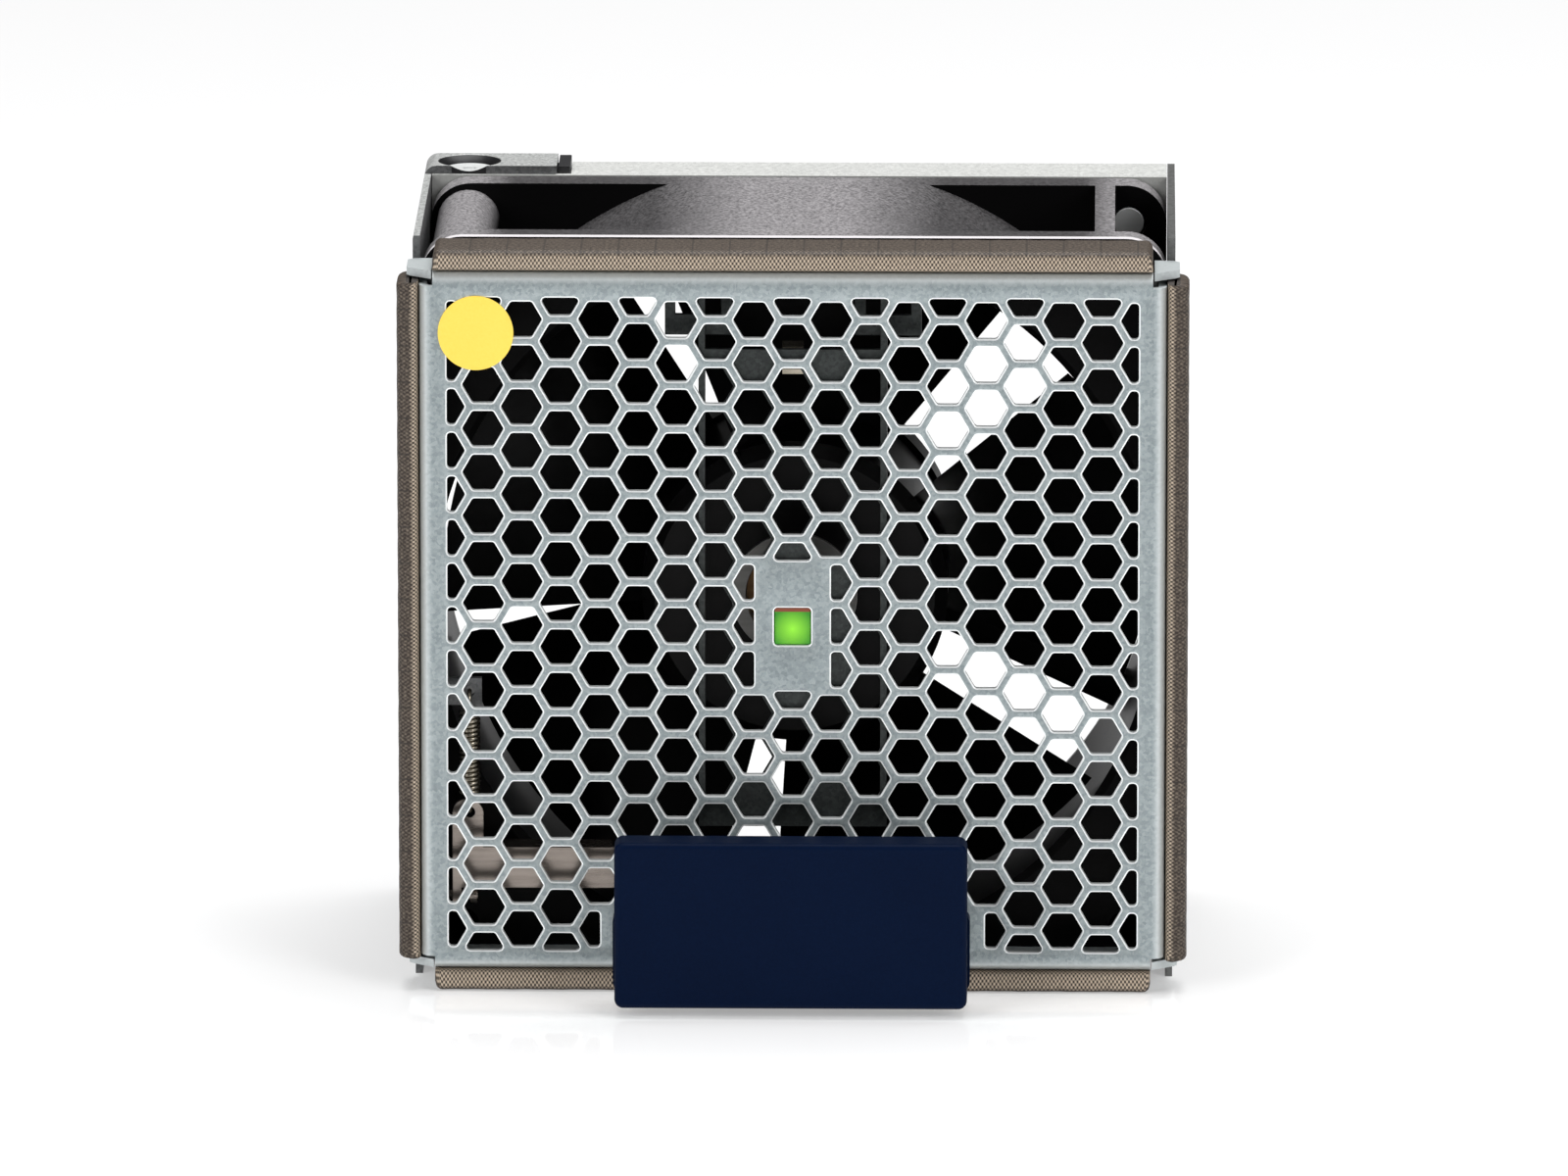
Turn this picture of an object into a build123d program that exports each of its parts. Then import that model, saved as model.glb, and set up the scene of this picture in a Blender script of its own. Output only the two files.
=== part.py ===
from build123d import *
import os
from math import radians, sin, sqrt, tan

os.makedirs("parts", exist_ok=True)

# Switch fan tray, millimetres. X runs across the front, Y to the rear, Z up from the bottom gasket.
# Depths are measured rearward from the front face of the panel.

# Clearances and cuts
overrun = 1.0
seat_gap = 0.1
running_gap = 0.05
loose_gap = 0.3
half_share = 0.5

# Fan frame
fan_size = 92.0
fan_depth = 38.0
fan_corner_r = 5.0
flange_t = 4.6
duct_wall = 1.4
duct_mouth = 0.9
barrel_end_t = 5.6
barrel_waist_t = 2.3
fan_hole_inset = 4.75
fan_hole_r = 2.2
corner_boss_r = 3.9
corner_rib_w = 2.5
corner_rib_inset = 7.7
strut_count = 4
strut_w = 4.4
strut_t = 4.0
strut_turn = 65.0
base_r = 19.6
base_wall = 1.2
base_cup_depth = 6.5
fan_gap = 0.3
fan_base = 1.45

# Sheet metal panel
sheet_t = 1.0
bend_r = 1.7
panel_ease = 0.1
flange_depth = 9.2
side_flange_depth = 8.0
notch = 2.2
ear_reach = 1.6
ear_inset = 1.5
ear_front = 1.2
ear_slant = 2.4
ear_chamfer = 0.9
panel_drop = 2.0
gasket_t = 2.7
side_gasket_t = 2.7

# Hexagonal openings
hex_pitch = 5.5
hex_flat = 4.5
field_side = 3.4
field_foot = 2.45
centre_plate_w = 9.46
centre_plate_rows = 3
window_w = 4.6
window_h = 4.8
window_rise = 8.2
blank_w = 47.6
blank_h = 5.65
boss_blank_r = 4.6

# Centre strap behind the panel
strap_w = 23.2
strap_t = 0.8
strap_gap = 0.3
strap_bottom = 20.9
strap_face_drop = 9.7
strap_drop = 3.1
strap_flange = 3.2
strap_shift_x = 0.35
strap_shift_z = 0.35
hook_w = 8.2
hook_bar = 1.3
hook_drop = 8.6
hook_x = 11.7
hook_t = 0.9
hook_foot = 2.6
finger_w = 2.6
finger_t = 0.3
finger_h = 3.2
finger_reach = 2.0
dimple_r = 0.7
dimple_spread = 6.4
dimple_rise = 13.0

# Status light
pipe_w = 5.2
pipe_flange_t = 0.6
pipe_rod_w = 4.0
pipe_rod_l = 1.8
holder_w = 9.0
holder_h = 9.0
holder_t = 2.6
board_w = 8.0
board_h = 8.0
board_t = 0.8
lamp_w = 1.6
lamp_t = 0.6

# Sticker
sticker_r = 4.65
sticker_t = 0.12
sticker_inset = 7.0
sticker_drop = 7.5

# Side plates and rear frame
plate_t = 0.9
plate_front_lap = 4.2
rear_reach = 56.4
frame_t = 1.0
frame_rim = 6.0
deck_inset = 0.8
bracket_w = 15.6
bracket_front = 48.3
bracket_bend_r = 1.6
tab_w = 9.2
tab_gap = 0.05
connector_bay_w = 17.4

# Bracket screw
screw_head_r = 3.0
screw_r = 1.5
screw_l = 4.6
sink_r = 3.9
screw_inset = 4.6
screw_depth = 51.6
socket_r = 1.0
socket_deep = 0.7
nut_r = 2.6
nut_h = 1.6

# Rivets and fan screws
rivet_r = 1.0
rivet_head_r = 1.6
rivet_head_h = 0.4
rivet_inset = 14.0
fan_screw_head_r = 3.2
fan_screw_head_h = 1.8
fan_screw_l = 6.0
fan_screw_r = 1.9

# Motor and rotor
hub_front = 14.4
hub_r = 19.0
hub_depth = 25.5
hub_wall = 1.3
hub_round = 1.6
hub_ring_r = 7.8
hub_ring_wall = 1.8
hub_ring_proud = 0.8
boss_recess = 3.0
boss_t = 3.0
shaft_r = 1.5
shaft_l = 29.4
bearing_r = 4.0
bearing_w = 4.0
tube_wall = 1.2
tube_l = 21.0
yoke_t = 0.8
yoke_l = 23.0
magnet_t = 1.9
magnet_l = 21.0
stator_l = 9.0
stator_gap = 0.6
stator_neck_w = 4.6
stator_hub_r = 8.2
stator_shoe_t = 2.4
slot_w = 3.0
slot_count = 4
coil_t = 2.2
motor_board_t = 1.2
motor_board_r = 15.5
clip_r = 2.4
clip_t = 0.5

# Blades
blade_count = 5
blade_start = 9.0
blade_tip_gap = 0.8
blade_spread = 61.0
blade_reach = 24.0
blade_root_sink = 3.5
blade_camber = 3.2
blade_t = 1.3
blade_middle = 27.3

# Latch lever
lever_t = 1.1
lever_front = 3.5
lever_inset = 3.75
lever_bottom = 12.4
lever_top = 17.6
lever_lip = 3.2
lip_right = 22.5
arm_w = 3.9
arm_top = 23.7
ear_w = 3.7
ear_bottom = 9.3
pivot_x = 17.0
pivot_z = 15.0
plate_left = 21.3
plate_right = 17.4
plate_bottom = 10.6
plate_top = 18.0
stem_w = 20.0
stem_bottom = 5.2
tongue_top = 11.1
tooth_w = 4.4
tooth_tip = 0.4
lever_range = 5.0
window_side = 1.6
stem_window_h = 3.9
tooth_play = 1.9

# Pivot stud, guide pin and spring
journal_r = 1.5
shoulder_r = 2.6
journal_over = 1.4
groove_depth = 0.25
ring_r = 2.6
ring_t = 0.5
guide_r = 0.7
guide_head_r = 1.15
guide_head_l = 0.9
guide_z = 10.9
spring_inset = 2.2
spring_r = 1.35
wire_r = 0.27
hook_eye_r = 1.1
eye_hole_r = 0.65
arm_hole_z = 22.0
anchor_hole_z = 37.3
anchor_h = 3.4
anchor_reach = 6.4
coil_count = 17

# Handle
handle_reach = 14.0
pad_w = 43.4
pad_bottom = 1.3
pad_top = 22.2
pad_t = 4.5
pad_corner_r = 1.1
pad_edge_r = 0.7
cover_w = 44.0
cover_bottom = 2.6
cover_top = 12.3
cover_t = 3.8
handle_screw_r = 1.0
handle_screw_head_r = 1.9
handle_screw_head_h = 1.1
handle_screw_l = 5.4
handle_screw_spacing = 30.0
handle_screw_z = 7.45

# Rear connector
connector_w = 16.4
connector_h = 14.0
connector_drop = 4.1
connector_wall = 1.4
connector_depth = 7.2
connector_floor = 2.2
lug_w = 7.6
lug_lip_w = 1.5
pin_w = 0.64
pin_l = 4.6
pin_pitch = 2.54
pin_columns = 5
pin_rows = 3

# Places that follow from the sizes
face_y = (handle_reach - rear_reach) * half_share
half_fan = fan_size * half_share
duct_r = half_fan - duct_wall
barrel_end_r = duct_r + barrel_end_t
barrel_waist_r = duct_r + barrel_waist_t
fan_hole_spacing = fan_size - 2 * fan_hole_inset
corner_rib_x = half_fan - corner_rib_inset
panel_w = fan_size - panel_ease
panel_h = fan_size - 2 * panel_drop
panel_z = gasket_t + seat_gap
panel_top = panel_z + panel_h
half_panel = panel_w * half_share
col_pitch = hex_pitch * sqrt(3) * half_share
field_w = panel_w - 2 * field_side
field_bottom = panel_z + field_foot
field_rows = int((panel_h - 2 * field_foot) / hex_pitch)
centre_plate_h = centre_plate_rows * hex_pitch
centre_plate_bottom = field_bottom + (field_rows - centre_plate_rows) // 2 * hex_pitch
window_middle = centre_plate_bottom + window_rise
strap_face_top = panel_top - strap_face_drop
strap_top = panel_top - strap_drop
hook_bottom = panel_top - hook_drop
sticker_x = half_panel - sticker_inset
sticker_z = panel_top - sticker_drop
deck_w = fan_size - 2 * deck_inset
screw_x = half_fan - screw_inset
connector_top = fan_base + fan_size - connector_drop
lever_left = half_panel - lever_inset
spring_x = lever_left - spring_inset
fan_front = flange_depth + fan_gap
fan_rear = fan_front + fan_depth
fan_z = fan_base + half_fan
frame_front = fan_rear + fan_gap
frame_z0 = 0.0
frame_top = fan_base + fan_size + seat_gap
plate_in = half_fan + seat_gap
plate_out = plate_in + plate_t
bracket_z0 = frame_top + tab_gap
bracket_top = bracket_z0 + frame_t
fan_axis = Axis((0, face_y, fan_z), (0, 1, 0))


def facing(depth):
    """A plane that faces the front, at a depth behind the panel's face: x is X and y is Z."""
    return Plane(origin=(0, face_y + depth, 0), x_dir=(1, 0, 0), z_dir=(0, -1, 0))


def facing_fan(depth):
    """The same plane with its origin on the fan's axis."""
    return Plane(origin=(0, face_y + depth, fan_z), x_dir=(1, 0, 0), z_dir=(0, -1, 0))


def upright(x):
    """A plane that faces right, at a place across the tray: x is the depth and y is Z."""
    return Plane(origin=(x, face_y, 0), x_dir=(0, 1, 0), z_dir=(1, 0, 0))


def level(z):
    """A level plane at a height: x is X and y is the depth."""
    return Plane(origin=(0, face_y, z), x_dir=(1, 0, 0), z_dir=(0, 0, 1))


fan_section = Plane(origin=(0, face_y, fan_z), x_dir=(0, 1, 0), z_dir=(1, 0, 0))


def rect(left, bottom, right, top, mode=Mode.ADD):
    """A rectangle between two corners."""
    with Locations(((left + right) * half_share, (bottom + top) * half_share)):
        Rectangle(right - left, top - bottom, mode=mode)


def hex_centres(columns, shift_x=0, shift_z=0):
    """The middles of the hexagons in a band of columns about the centre line."""
    places = []
    for column in range(-columns, columns + 1):
        odd = column % 2
        for row in range(field_rows + 1 - odd):
            across = column * col_pitch + shift_x
            up = field_bottom + (row + odd * half_share) * hex_pitch + shift_z
            places.append((across, up))
    return places


def keep(part, name):
    """Labels a finished piece and writes it."""
    part.label = name
    export_step(part, "parts/" + name + ".step")


hex_columns = round(field_w * half_share / col_pitch)
field_top = field_bottom + field_rows * hex_pitch

# Front panel: a folded sheet with flanges, ears and the field of hexagons
with BuildPart() as front_panel:
    with BuildSketch(level(panel_z)):
        rect(-half_panel, 0, half_panel, flange_depth)
    extrude(amount=panel_h)
    fillet(front_panel.faces().sort_by(Axis.Y)[0].edges(), radius=bend_r)
    offset(amount=-sheet_t, openings=front_panel.faces().sort_by(Axis.Y)[-1])
    # the side flanges are shorter, to leave room for the laps of the side plates
    with BuildSketch(level(panel_z + sheet_t)):
        rect(-half_panel - overrun, side_flange_depth, half_panel + overrun, flange_depth + overrun)
    extrude(amount=panel_h - 2 * sheet_t, mode=Mode.SUBTRACT)
    # bend reliefs at the corners
    with BuildSketch(facing(0)):
        for side in (-1, 1):
            for edge in (panel_z, panel_top):
                with Locations((side * half_panel, edge)):
                    Rectangle(notch, notch)
    extrude(amount=-flange_depth, mode=Mode.SUBTRACT)
    # ears at the four corners
    for ear_z in (panel_z, panel_top - sheet_t):
        for side in (-1, 1):
            with BuildSketch(level(ear_z)):
                with BuildLine():
                    Polyline(
                        (side * (half_panel - ear_inset), ear_front),
                        (side * (half_panel + ear_reach), ear_front + ear_slant),
                        (side * (half_panel + ear_reach), flange_depth - ear_chamfer),
                        (side * (half_panel + ear_reach - ear_chamfer), flange_depth),
                        (side * (half_panel - ear_inset), flange_depth),
                        close=True,
                    )
                make_face()
            extrude(amount=sheet_t)
    # hexagons, with the blank places left solid
    with BuildSketch(facing(0)):
        places = []
        for place in hex_centres(hex_columns):
            if (place[0] + pivot_x) ** 2 + (place[1] - pivot_z) ** 2 > boss_blank_r**2:
                places.append(place)
        with Locations(*places):
            RegularPolygon(radius=hex_flat * half_share, side_count=6, major_radius=False)
        rect(-field_w / 2, field_bottom, field_w / 2, field_top, mode=Mode.INTERSECT)
        rect(
            -centre_plate_w / 2,
            centre_plate_bottom,
            centre_plate_w / 2,
            centre_plate_bottom + centre_plate_h,
            mode=Mode.SUBTRACT,
        )
        rect(-blank_w / 2, panel_z, blank_w / 2, field_bottom + blank_h, mode=Mode.SUBTRACT)
        with Locations((0, window_middle)):
            Rectangle(window_w, window_h)
        rect(
            -stem_w / 2 - window_side,
            stem_bottom - loose_gap * 2,
            stem_w / 2 + window_side,
            stem_bottom + stem_window_h,
        )
    extrude(amount=-sheet_t - overrun, mode=Mode.SUBTRACT)
    # slot in the bottom flange for the tooth
    with BuildSketch(level(panel_z)):
        rect(
            plate_right - tooth_w - loose_gap,
            lever_front - loose_gap,
            plate_right + tooth_play,
            lever_front + lever_t + loose_gap,
        )
    extrude(amount=sheet_t + overrun, both=True, mode=Mode.SUBTRACT)
    # seat of the pivot stud
    with BuildSketch(facing(0)):
        with Locations((-pivot_x, pivot_z)):
            Circle(journal_r)
    extrude(amount=-sheet_t - overrun, mode=Mode.SUBTRACT)
keep(front_panel.part, "front_panel")

# Gaskets: metallised cloth round a foam core, glued to the flanges
gasket_depth = flange_depth - 2 * seat_gap
gasket_half = half_panel - ear_inset - 2 * seat_gap
for name, gasket_z in (("gasket_bottom", 0), ("gasket_top", panel_top + seat_gap)):
    with BuildPart() as gasket:
        with BuildSketch(level(gasket_z)):
            rect(-gasket_half, seat_gap, gasket_half, gasket_depth)
            if name == "gasket_bottom":
                rect(
                    plate_right - tooth_w - loose_gap,
                    lever_front - loose_gap,
                    plate_right + tooth_play,
                    lever_front + lever_t + loose_gap,
                    mode=Mode.SUBTRACT,
                )
        extrude(amount=gasket_t)
    keep(gasket.part, name)

side_gasket_z = panel_z + sheet_t + loose_gap
for name, side in (("gasket_left", -1), ("gasket_right", 1)):
    with BuildPart() as gasket:
        inner = side * (half_panel + seat_gap)
        outer = side * (half_panel + seat_gap + side_gasket_t)
        round_start = side * (half_panel + seat_gap + side_gasket_t * half_share)
        with BuildSketch(level(side_gasket_z)):
            with BuildLine():
                Polyline(
                    (round_start, side_flange_depth),
                    (inner, side_flange_depth),
                    (inner, seat_gap),
                    (round_start, seat_gap),
                )
                ThreePointArc(
                    (round_start, seat_gap),
                    (outer, side_flange_depth * half_share),
                    (round_start, side_flange_depth),
                )
            make_face()
        extrude(amount=panel_top - sheet_t - loose_gap - side_gasket_z)
    keep(gasket.part, name)

# Round sticker on the face of the panel
with BuildPart() as dot_sticker:
    with BuildSketch(facing(0)):
        with Locations((-sticker_x, sticker_z)):
            Circle(sticker_r)
    extrude(amount=sticker_t)
keep(dot_sticker.part, "dot_sticker")

# Centre strap: a channel with the same hexagons, which carries the status light
strap_front = sheet_t + strap_gap
with BuildPart() as centre_strap:
    with BuildSketch(facing(strap_front)):
        rect(-strap_w / 2, strap_bottom, strap_w / 2, strap_face_top)
    extrude(amount=-strap_t)
    for side in (-1, 1):
        with BuildSketch(facing(strap_front)):
            edge = side * strap_w / 2
            rect(min(edge, edge - side * strap_t), strap_bottom, max(edge, edge - side * strap_t), strap_top)
        extrude(amount=-strap_flange)
    with BuildSketch(facing(strap_front)):
        columns = int((strap_w / 2 - strap_t) / col_pitch)
        places = []
        for place in hex_centres(columns, -strap_shift_x, -strap_shift_z):
            clear_of_ends = strap_bottom + hex_flat < place[1] < strap_face_top - hex_flat
            clear_of_light = abs(place[0]) > holder_w / 2 or abs(place[1] - window_middle) > holder_h
            if clear_of_ends and clear_of_light:
                places.append(place)
        with Locations(*places):
            RegularPolygon(radius=hex_flat * half_share, side_count=6, major_radius=False)
        rect(-strap_w / 2 + strap_t, strap_bottom, strap_w / 2 - strap_t, strap_face_top, mode=Mode.INTERSECT)
        with Locations((0, window_middle)):
            Rectangle(pipe_rod_w + 2 * seat_gap, pipe_rod_w + 2 * seat_gap)
    extrude(amount=-strap_t - overrun, mode=Mode.SUBTRACT)
    # dimples that are welded to the plain plate in the middle of the panel
    with BuildSketch(facing(sheet_t)):
        with Locations((0, window_middle)):
            with GridLocations(dimple_spread, dimple_rise, 2, 2):
                Circle(dimple_r)
    extrude(amount=-strap_gap)
keep(centre_strap.part, "centre_strap")

# U-shaped hooks that hang from the top flange and hold the head of the strap
hook_front = strap_front + strap_flange + seat_gap
with BuildPart() as strap_hooks:
    for side in (-1, 1):
        hook_left = side * hook_x - hook_w / 2
        hook_right = side * hook_x + hook_w / 2
        with BuildSketch(facing(hook_front)):
            rect(hook_left, hook_bottom, hook_right, panel_top - sheet_t)
            rect(
                hook_left + hook_bar,
                hook_bottom + 2 * hook_bar,
                hook_right - hook_bar,
                panel_top - sheet_t,
                mode=Mode.SUBTRACT,
            )
        extrude(amount=-hook_t)
        with BuildSketch(level(panel_top - sheet_t)):
            rect(hook_left, hook_front, hook_right, hook_front + hook_foot)
        extrude(amount=-hook_t)
keep(strap_hooks.part, "strap_hooks")

# Bright spring finger on the top edge of the strap
with BuildPart() as ground_finger:
    with BuildSketch(upright(-finger_w / 2)):
        finger_back = strap_front + strap_t
        with BuildLine():
            Polyline(
                (finger_back + finger_t, strap_face_top - finger_h),
                (finger_back + finger_t, strap_face_top),
                (finger_back + finger_reach, strap_face_top + finger_t),
                (finger_back + finger_reach, strap_face_top - finger_h * half_share),
            )
            offset(amount=finger_t * half_share, kind=Kind.INTERSECTION)
        make_face()
    extrude(amount=finger_w)
keep(ground_finger.part, "ground_finger")

# Status light: light pipe, holder and lamp board
holder_front = strap_front + strap_t
with BuildPart() as light_pipe:
    with BuildSketch(facing(sheet_t)):
        with Locations((0, window_middle)):
            Rectangle(pipe_w + 2 * seat_gap, pipe_w + 2 * seat_gap)
    extrude(amount=-strap_gap)
    with BuildSketch(facing(sheet_t + strap_gap)):
        with Locations((0, window_middle)):
            Rectangle(pipe_rod_w, pipe_rod_w)
    extrude(amount=-strap_t - pipe_rod_l)
    with BuildSketch(facing(sheet_t)):
        with Locations((0, window_middle)):
            Rectangle(window_w - 2 * seat_gap, window_h - 2 * seat_gap)
    extrude(amount=pipe_flange_t)
keep(light_pipe.part, "light_pipe")

with BuildPart() as lamp_holder:
    with BuildSketch(facing(holder_front)):
        with Locations((0, window_middle)):
            Rectangle(holder_w, holder_h)
            Rectangle(pipe_rod_w + 2 * seat_gap, pipe_rod_w + 2 * seat_gap, mode=Mode.SUBTRACT)
    extrude(amount=-holder_t)
keep(lamp_holder.part, "lamp_holder")

lamp_front = holder_front + holder_t
with BuildPart() as lamp_board:
    with BuildSketch(facing(lamp_front)):
        with Locations((0, window_middle)):
            Rectangle(board_w, board_h)
    extrude(amount=-board_t)
keep(lamp_board.part, "lamp_board")

with BuildPart() as status_lamp:
    with BuildSketch(facing(lamp_front)):
        with Locations((0, window_middle)):
            Rectangle(lamp_w, lamp_w)
    extrude(amount=lamp_t)
keep(status_lamp.part, "status_lamp")

# Side plates: lapped inside the panel's flanges and stepped out round the fan
lap_in = half_panel - sheet_t - seat_gap
lap_step = side_flange_depth + seat_gap
rivet_heights = (rivet_inset, fan_z, fan_size - rivet_inset)
rivet_depth = side_flange_depth - plate_front_lap * half_share


def side_plate(side):
    """The stepped sheet of one side: its plan is extruded, and its rear part is as tall as the fan."""
    with BuildSketch(level(panel_z + sheet_t + loose_gap)) as plan:
        with BuildLine():
            Polyline(
                (side * lap_in, side_flange_depth - plate_front_lap),
                (side * lap_in, lap_step),
                (side * plate_out, lap_step),
                (side * plate_out, rear_reach),
                (side * plate_in, rear_reach),
                (side * plate_in, lap_step + plate_t),
                (side * (lap_in - plate_t), lap_step + plate_t),
                (side * (lap_in - plate_t), side_flange_depth - plate_front_lap),
                close=True,
            )
        make_face()
    extrude(plan.sketch, amount=panel_h - 2 * sheet_t - 2 * loose_gap)
    with BuildSketch(upright(side * (plate_in + plate_out) / 2)) as wall:
        rect(flange_depth + fan_gap, frame_z0, rear_reach, frame_top)
    extrude(wall.sketch, amount=plate_t / 2, both=True)
    with BuildSketch(upright(side * (lap_in - plate_t))) as holes:
        for height in rivet_heights:
            with Locations((rivet_depth, height), (rear_reach - frame_rim * half_share, height)):
                Circle(rivet_r + running_gap)
    extrude(holes.sketch, amount=side * (plate_out - lap_in + plate_t + overrun), mode=Mode.SUBTRACT)


sink_drop = sink_r - screw_head_r


def screw_sink(gap):
    """The cone that the bracket screw's head sits in, cut through the layers under it."""
    middle = (-screw_x, face_y + screw_depth, bracket_top)
    with BuildSketch(Plane(origin=middle, x_dir=(1, 0, 0), z_dir=(0, -1, 0))) as cone:
        with BuildLine():
            Polyline(
                (0, overrun),
                (sink_r + overrun + gap, overrun),
                (screw_r + gap, screw_r - sink_r),
                (screw_r + gap, -screw_l - overrun),
                (0, -screw_l - overrun),
                close=True,
            )
        make_face()
    revolve(cone.sketch, axis=Axis(middle, (0, 0, 1)), mode=Mode.SUBTRACT)


anchor_front = lever_front
with BuildPart() as left_side_plate:
    side_plate(-1)
    # the rear top corner folds over as a bracket
    with BuildSketch(facing(bracket_front)):
        rect(-plate_out, frame_top - bracket_bend_r, -plate_in, bracket_top)
        rect(-plate_out, bracket_z0, -plate_out + bracket_w + frame_t, bracket_top)
    extrude(amount=bracket_front - rear_reach)
    corner = left_side_plate.edges().filter_by(Axis.Y).filter_by_position(
        Axis.Z, bracket_top - running_gap, bracket_top + running_gap
    )
    fillet(corner.sort_by(Axis.X)[0], radius=bracket_bend_r)
    screw_sink(seat_gap)
    # lanced anchor tab for the spring
    with BuildSketch(facing(anchor_front)):
        rect(
            -lap_in + plate_t * half_share,
            anchor_hole_z - anchor_h * half_share,
            -lap_in + anchor_reach,
            anchor_hole_z + anchor_h * half_share,
        )
        with Locations((-spring_x, anchor_hole_z)):
            Circle(eye_hole_r, mode=Mode.SUBTRACT)
    extrude(amount=-lever_t)
    # seat of the guide pin
    with BuildSketch(upright(-lap_in - overrun)):
        with Locations((lever_front + lever_t + ear_w * half_share, guide_z)):
            Circle(guide_r)
    extrude(amount=plate_t + 2 * overrun, mode=Mode.SUBTRACT)
keep(left_side_plate.part, "left_side_plate")

with BuildPart() as right_side_plate:
    side_plate(1)
keep(right_side_plate.part, "right_side_plate")

# Rear frame: a bulkhead with a round opening and flanges
frame_half = plate_in - seat_gap
fan_screw_places = []
for side in (-1, 1):
    for edge in (-1, 1):
        # the bracket and the connector take the place of the screw at the top left
        if side > 0 or edge < 0:
            fan_screw_places.append((side * fan_hole_spacing / 2, fan_z + edge * fan_hole_spacing / 2))

with BuildPart() as rear_frame:
    with BuildSketch(facing(frame_front)):
        rect(-frame_half, frame_z0, frame_half, frame_top)
        with Locations((0, fan_z)):
            Circle(duct_r, mode=Mode.SUBTRACT)
        with Locations(*fan_screw_places):
            Circle(fan_screw_r + seat_gap, mode=Mode.SUBTRACT)
    extrude(amount=-frame_t)
    # deck and bottom flange
    for flange_z in (frame_z0, frame_top - frame_t):
        with BuildSketch(level(flange_z)):
            rect(-deck_w / 2, frame_front, deck_w / 2, rear_reach)
        extrude(amount=frame_t)
    # side flanges
    for side in (-1, 1):
        with BuildSketch(upright(side * frame_half)):
            rect(frame_front, frame_z0, rear_reach, frame_top)
        extrude(amount=-side * frame_t)
    # room for the connector's lug between the deck and the bracket's tab
    with BuildSketch(level(frame_top - frame_t)):
        rect(
            -plate_in + tab_w,
            frame_front + frame_t,
            -plate_in + connector_bay_w + seat_gap,
            rear_reach + overrun,
        )
    extrude(amount=frame_t + overrun, mode=Mode.SUBTRACT)
    screw_sink(seat_gap)
    with BuildSketch(upright(-frame_half - overrun)):
        for height in rivet_heights:
            with Locations((rear_reach - frame_rim * half_share, height)):
                Circle(rivet_r + running_gap)
    extrude(amount=2 * frame_half + 2 * overrun, mode=Mode.SUBTRACT)
keep(rear_frame.part, "rear_frame")

# Countersunk screw of the bracket and the nut clinched under its tab
screw_head_top = bracket_top - sink_drop
with BuildPart() as bracket_screw:
    with BuildSketch(Plane(origin=(-screw_x, face_y + screw_depth, 0), x_dir=(1, 0, 0), z_dir=(0, -1, 0))):
        with BuildLine():
            Polyline(
                (0, screw_head_top),
                (screw_head_r, screw_head_top),
                (screw_r, screw_head_top - screw_head_r + screw_r),
                (screw_r, bracket_top - screw_l),
                (0, bracket_top - screw_l),
                close=True,
            )
        make_face()
    revolve(axis=Axis((-screw_x, face_y + screw_depth, 0), (0, 0, 1)))
    with BuildSketch(Plane.XY.offset(screw_head_top)):
        with Locations((-screw_x, face_y + screw_depth)):
            RegularPolygon(radius=socket_r, side_count=6)
    extrude(amount=-socket_deep, mode=Mode.SUBTRACT)
keep(bracket_screw.part, "bracket_screw")

with BuildPart() as clinch_nut:
    with BuildSketch(Plane.XY.offset(frame_top - frame_t)):
        with Locations((-screw_x, face_y + screw_depth)):
            Circle(nut_r)
    extrude(amount=-nut_h)
    screw_sink(running_gap)
keep(clinch_nut.part, "clinch_nut")


def rivet(head_plane, grip, direction):
    """A round-headed rivet: its head stands on the plane and its shank goes through the grip."""
    with BuildSketch(head_plane) as head:
        Circle(rivet_head_r)
    extrude(head.sketch, amount=direction * rivet_head_h)
    with BuildSketch(head_plane) as shank:
        Circle(rivet_r)
    extrude(shank.sketch, amount=-direction * grip)


# Rivets of the panel laps, with their heads inside, and of the rear flanges, with their heads outside
with BuildPart() as lap_rivets:
    for side in (-1, 1):
        for height in rivet_heights:
            seat = Plane(
                origin=(side * (lap_in - plate_t), face_y + rivet_depth, height),
                x_dir=(0, 1, 0),
                z_dir=(1, 0, 0),
            )
            rivet(seat, plate_t, -side)
keep(lap_rivets.part, "lap_rivets")

with BuildPart() as frame_rivets:
    for side in (-1, 1):
        for height in rivet_heights:
            seat = Plane(
                origin=(side * plate_out, face_y + rear_reach - frame_rim * half_share, height),
                x_dir=(0, 1, 0),
                z_dir=(1, 0, 0),
            )
            rivet(seat, plate_t + frame_t, side)
keep(frame_rivets.part, "frame_rivets")

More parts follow.
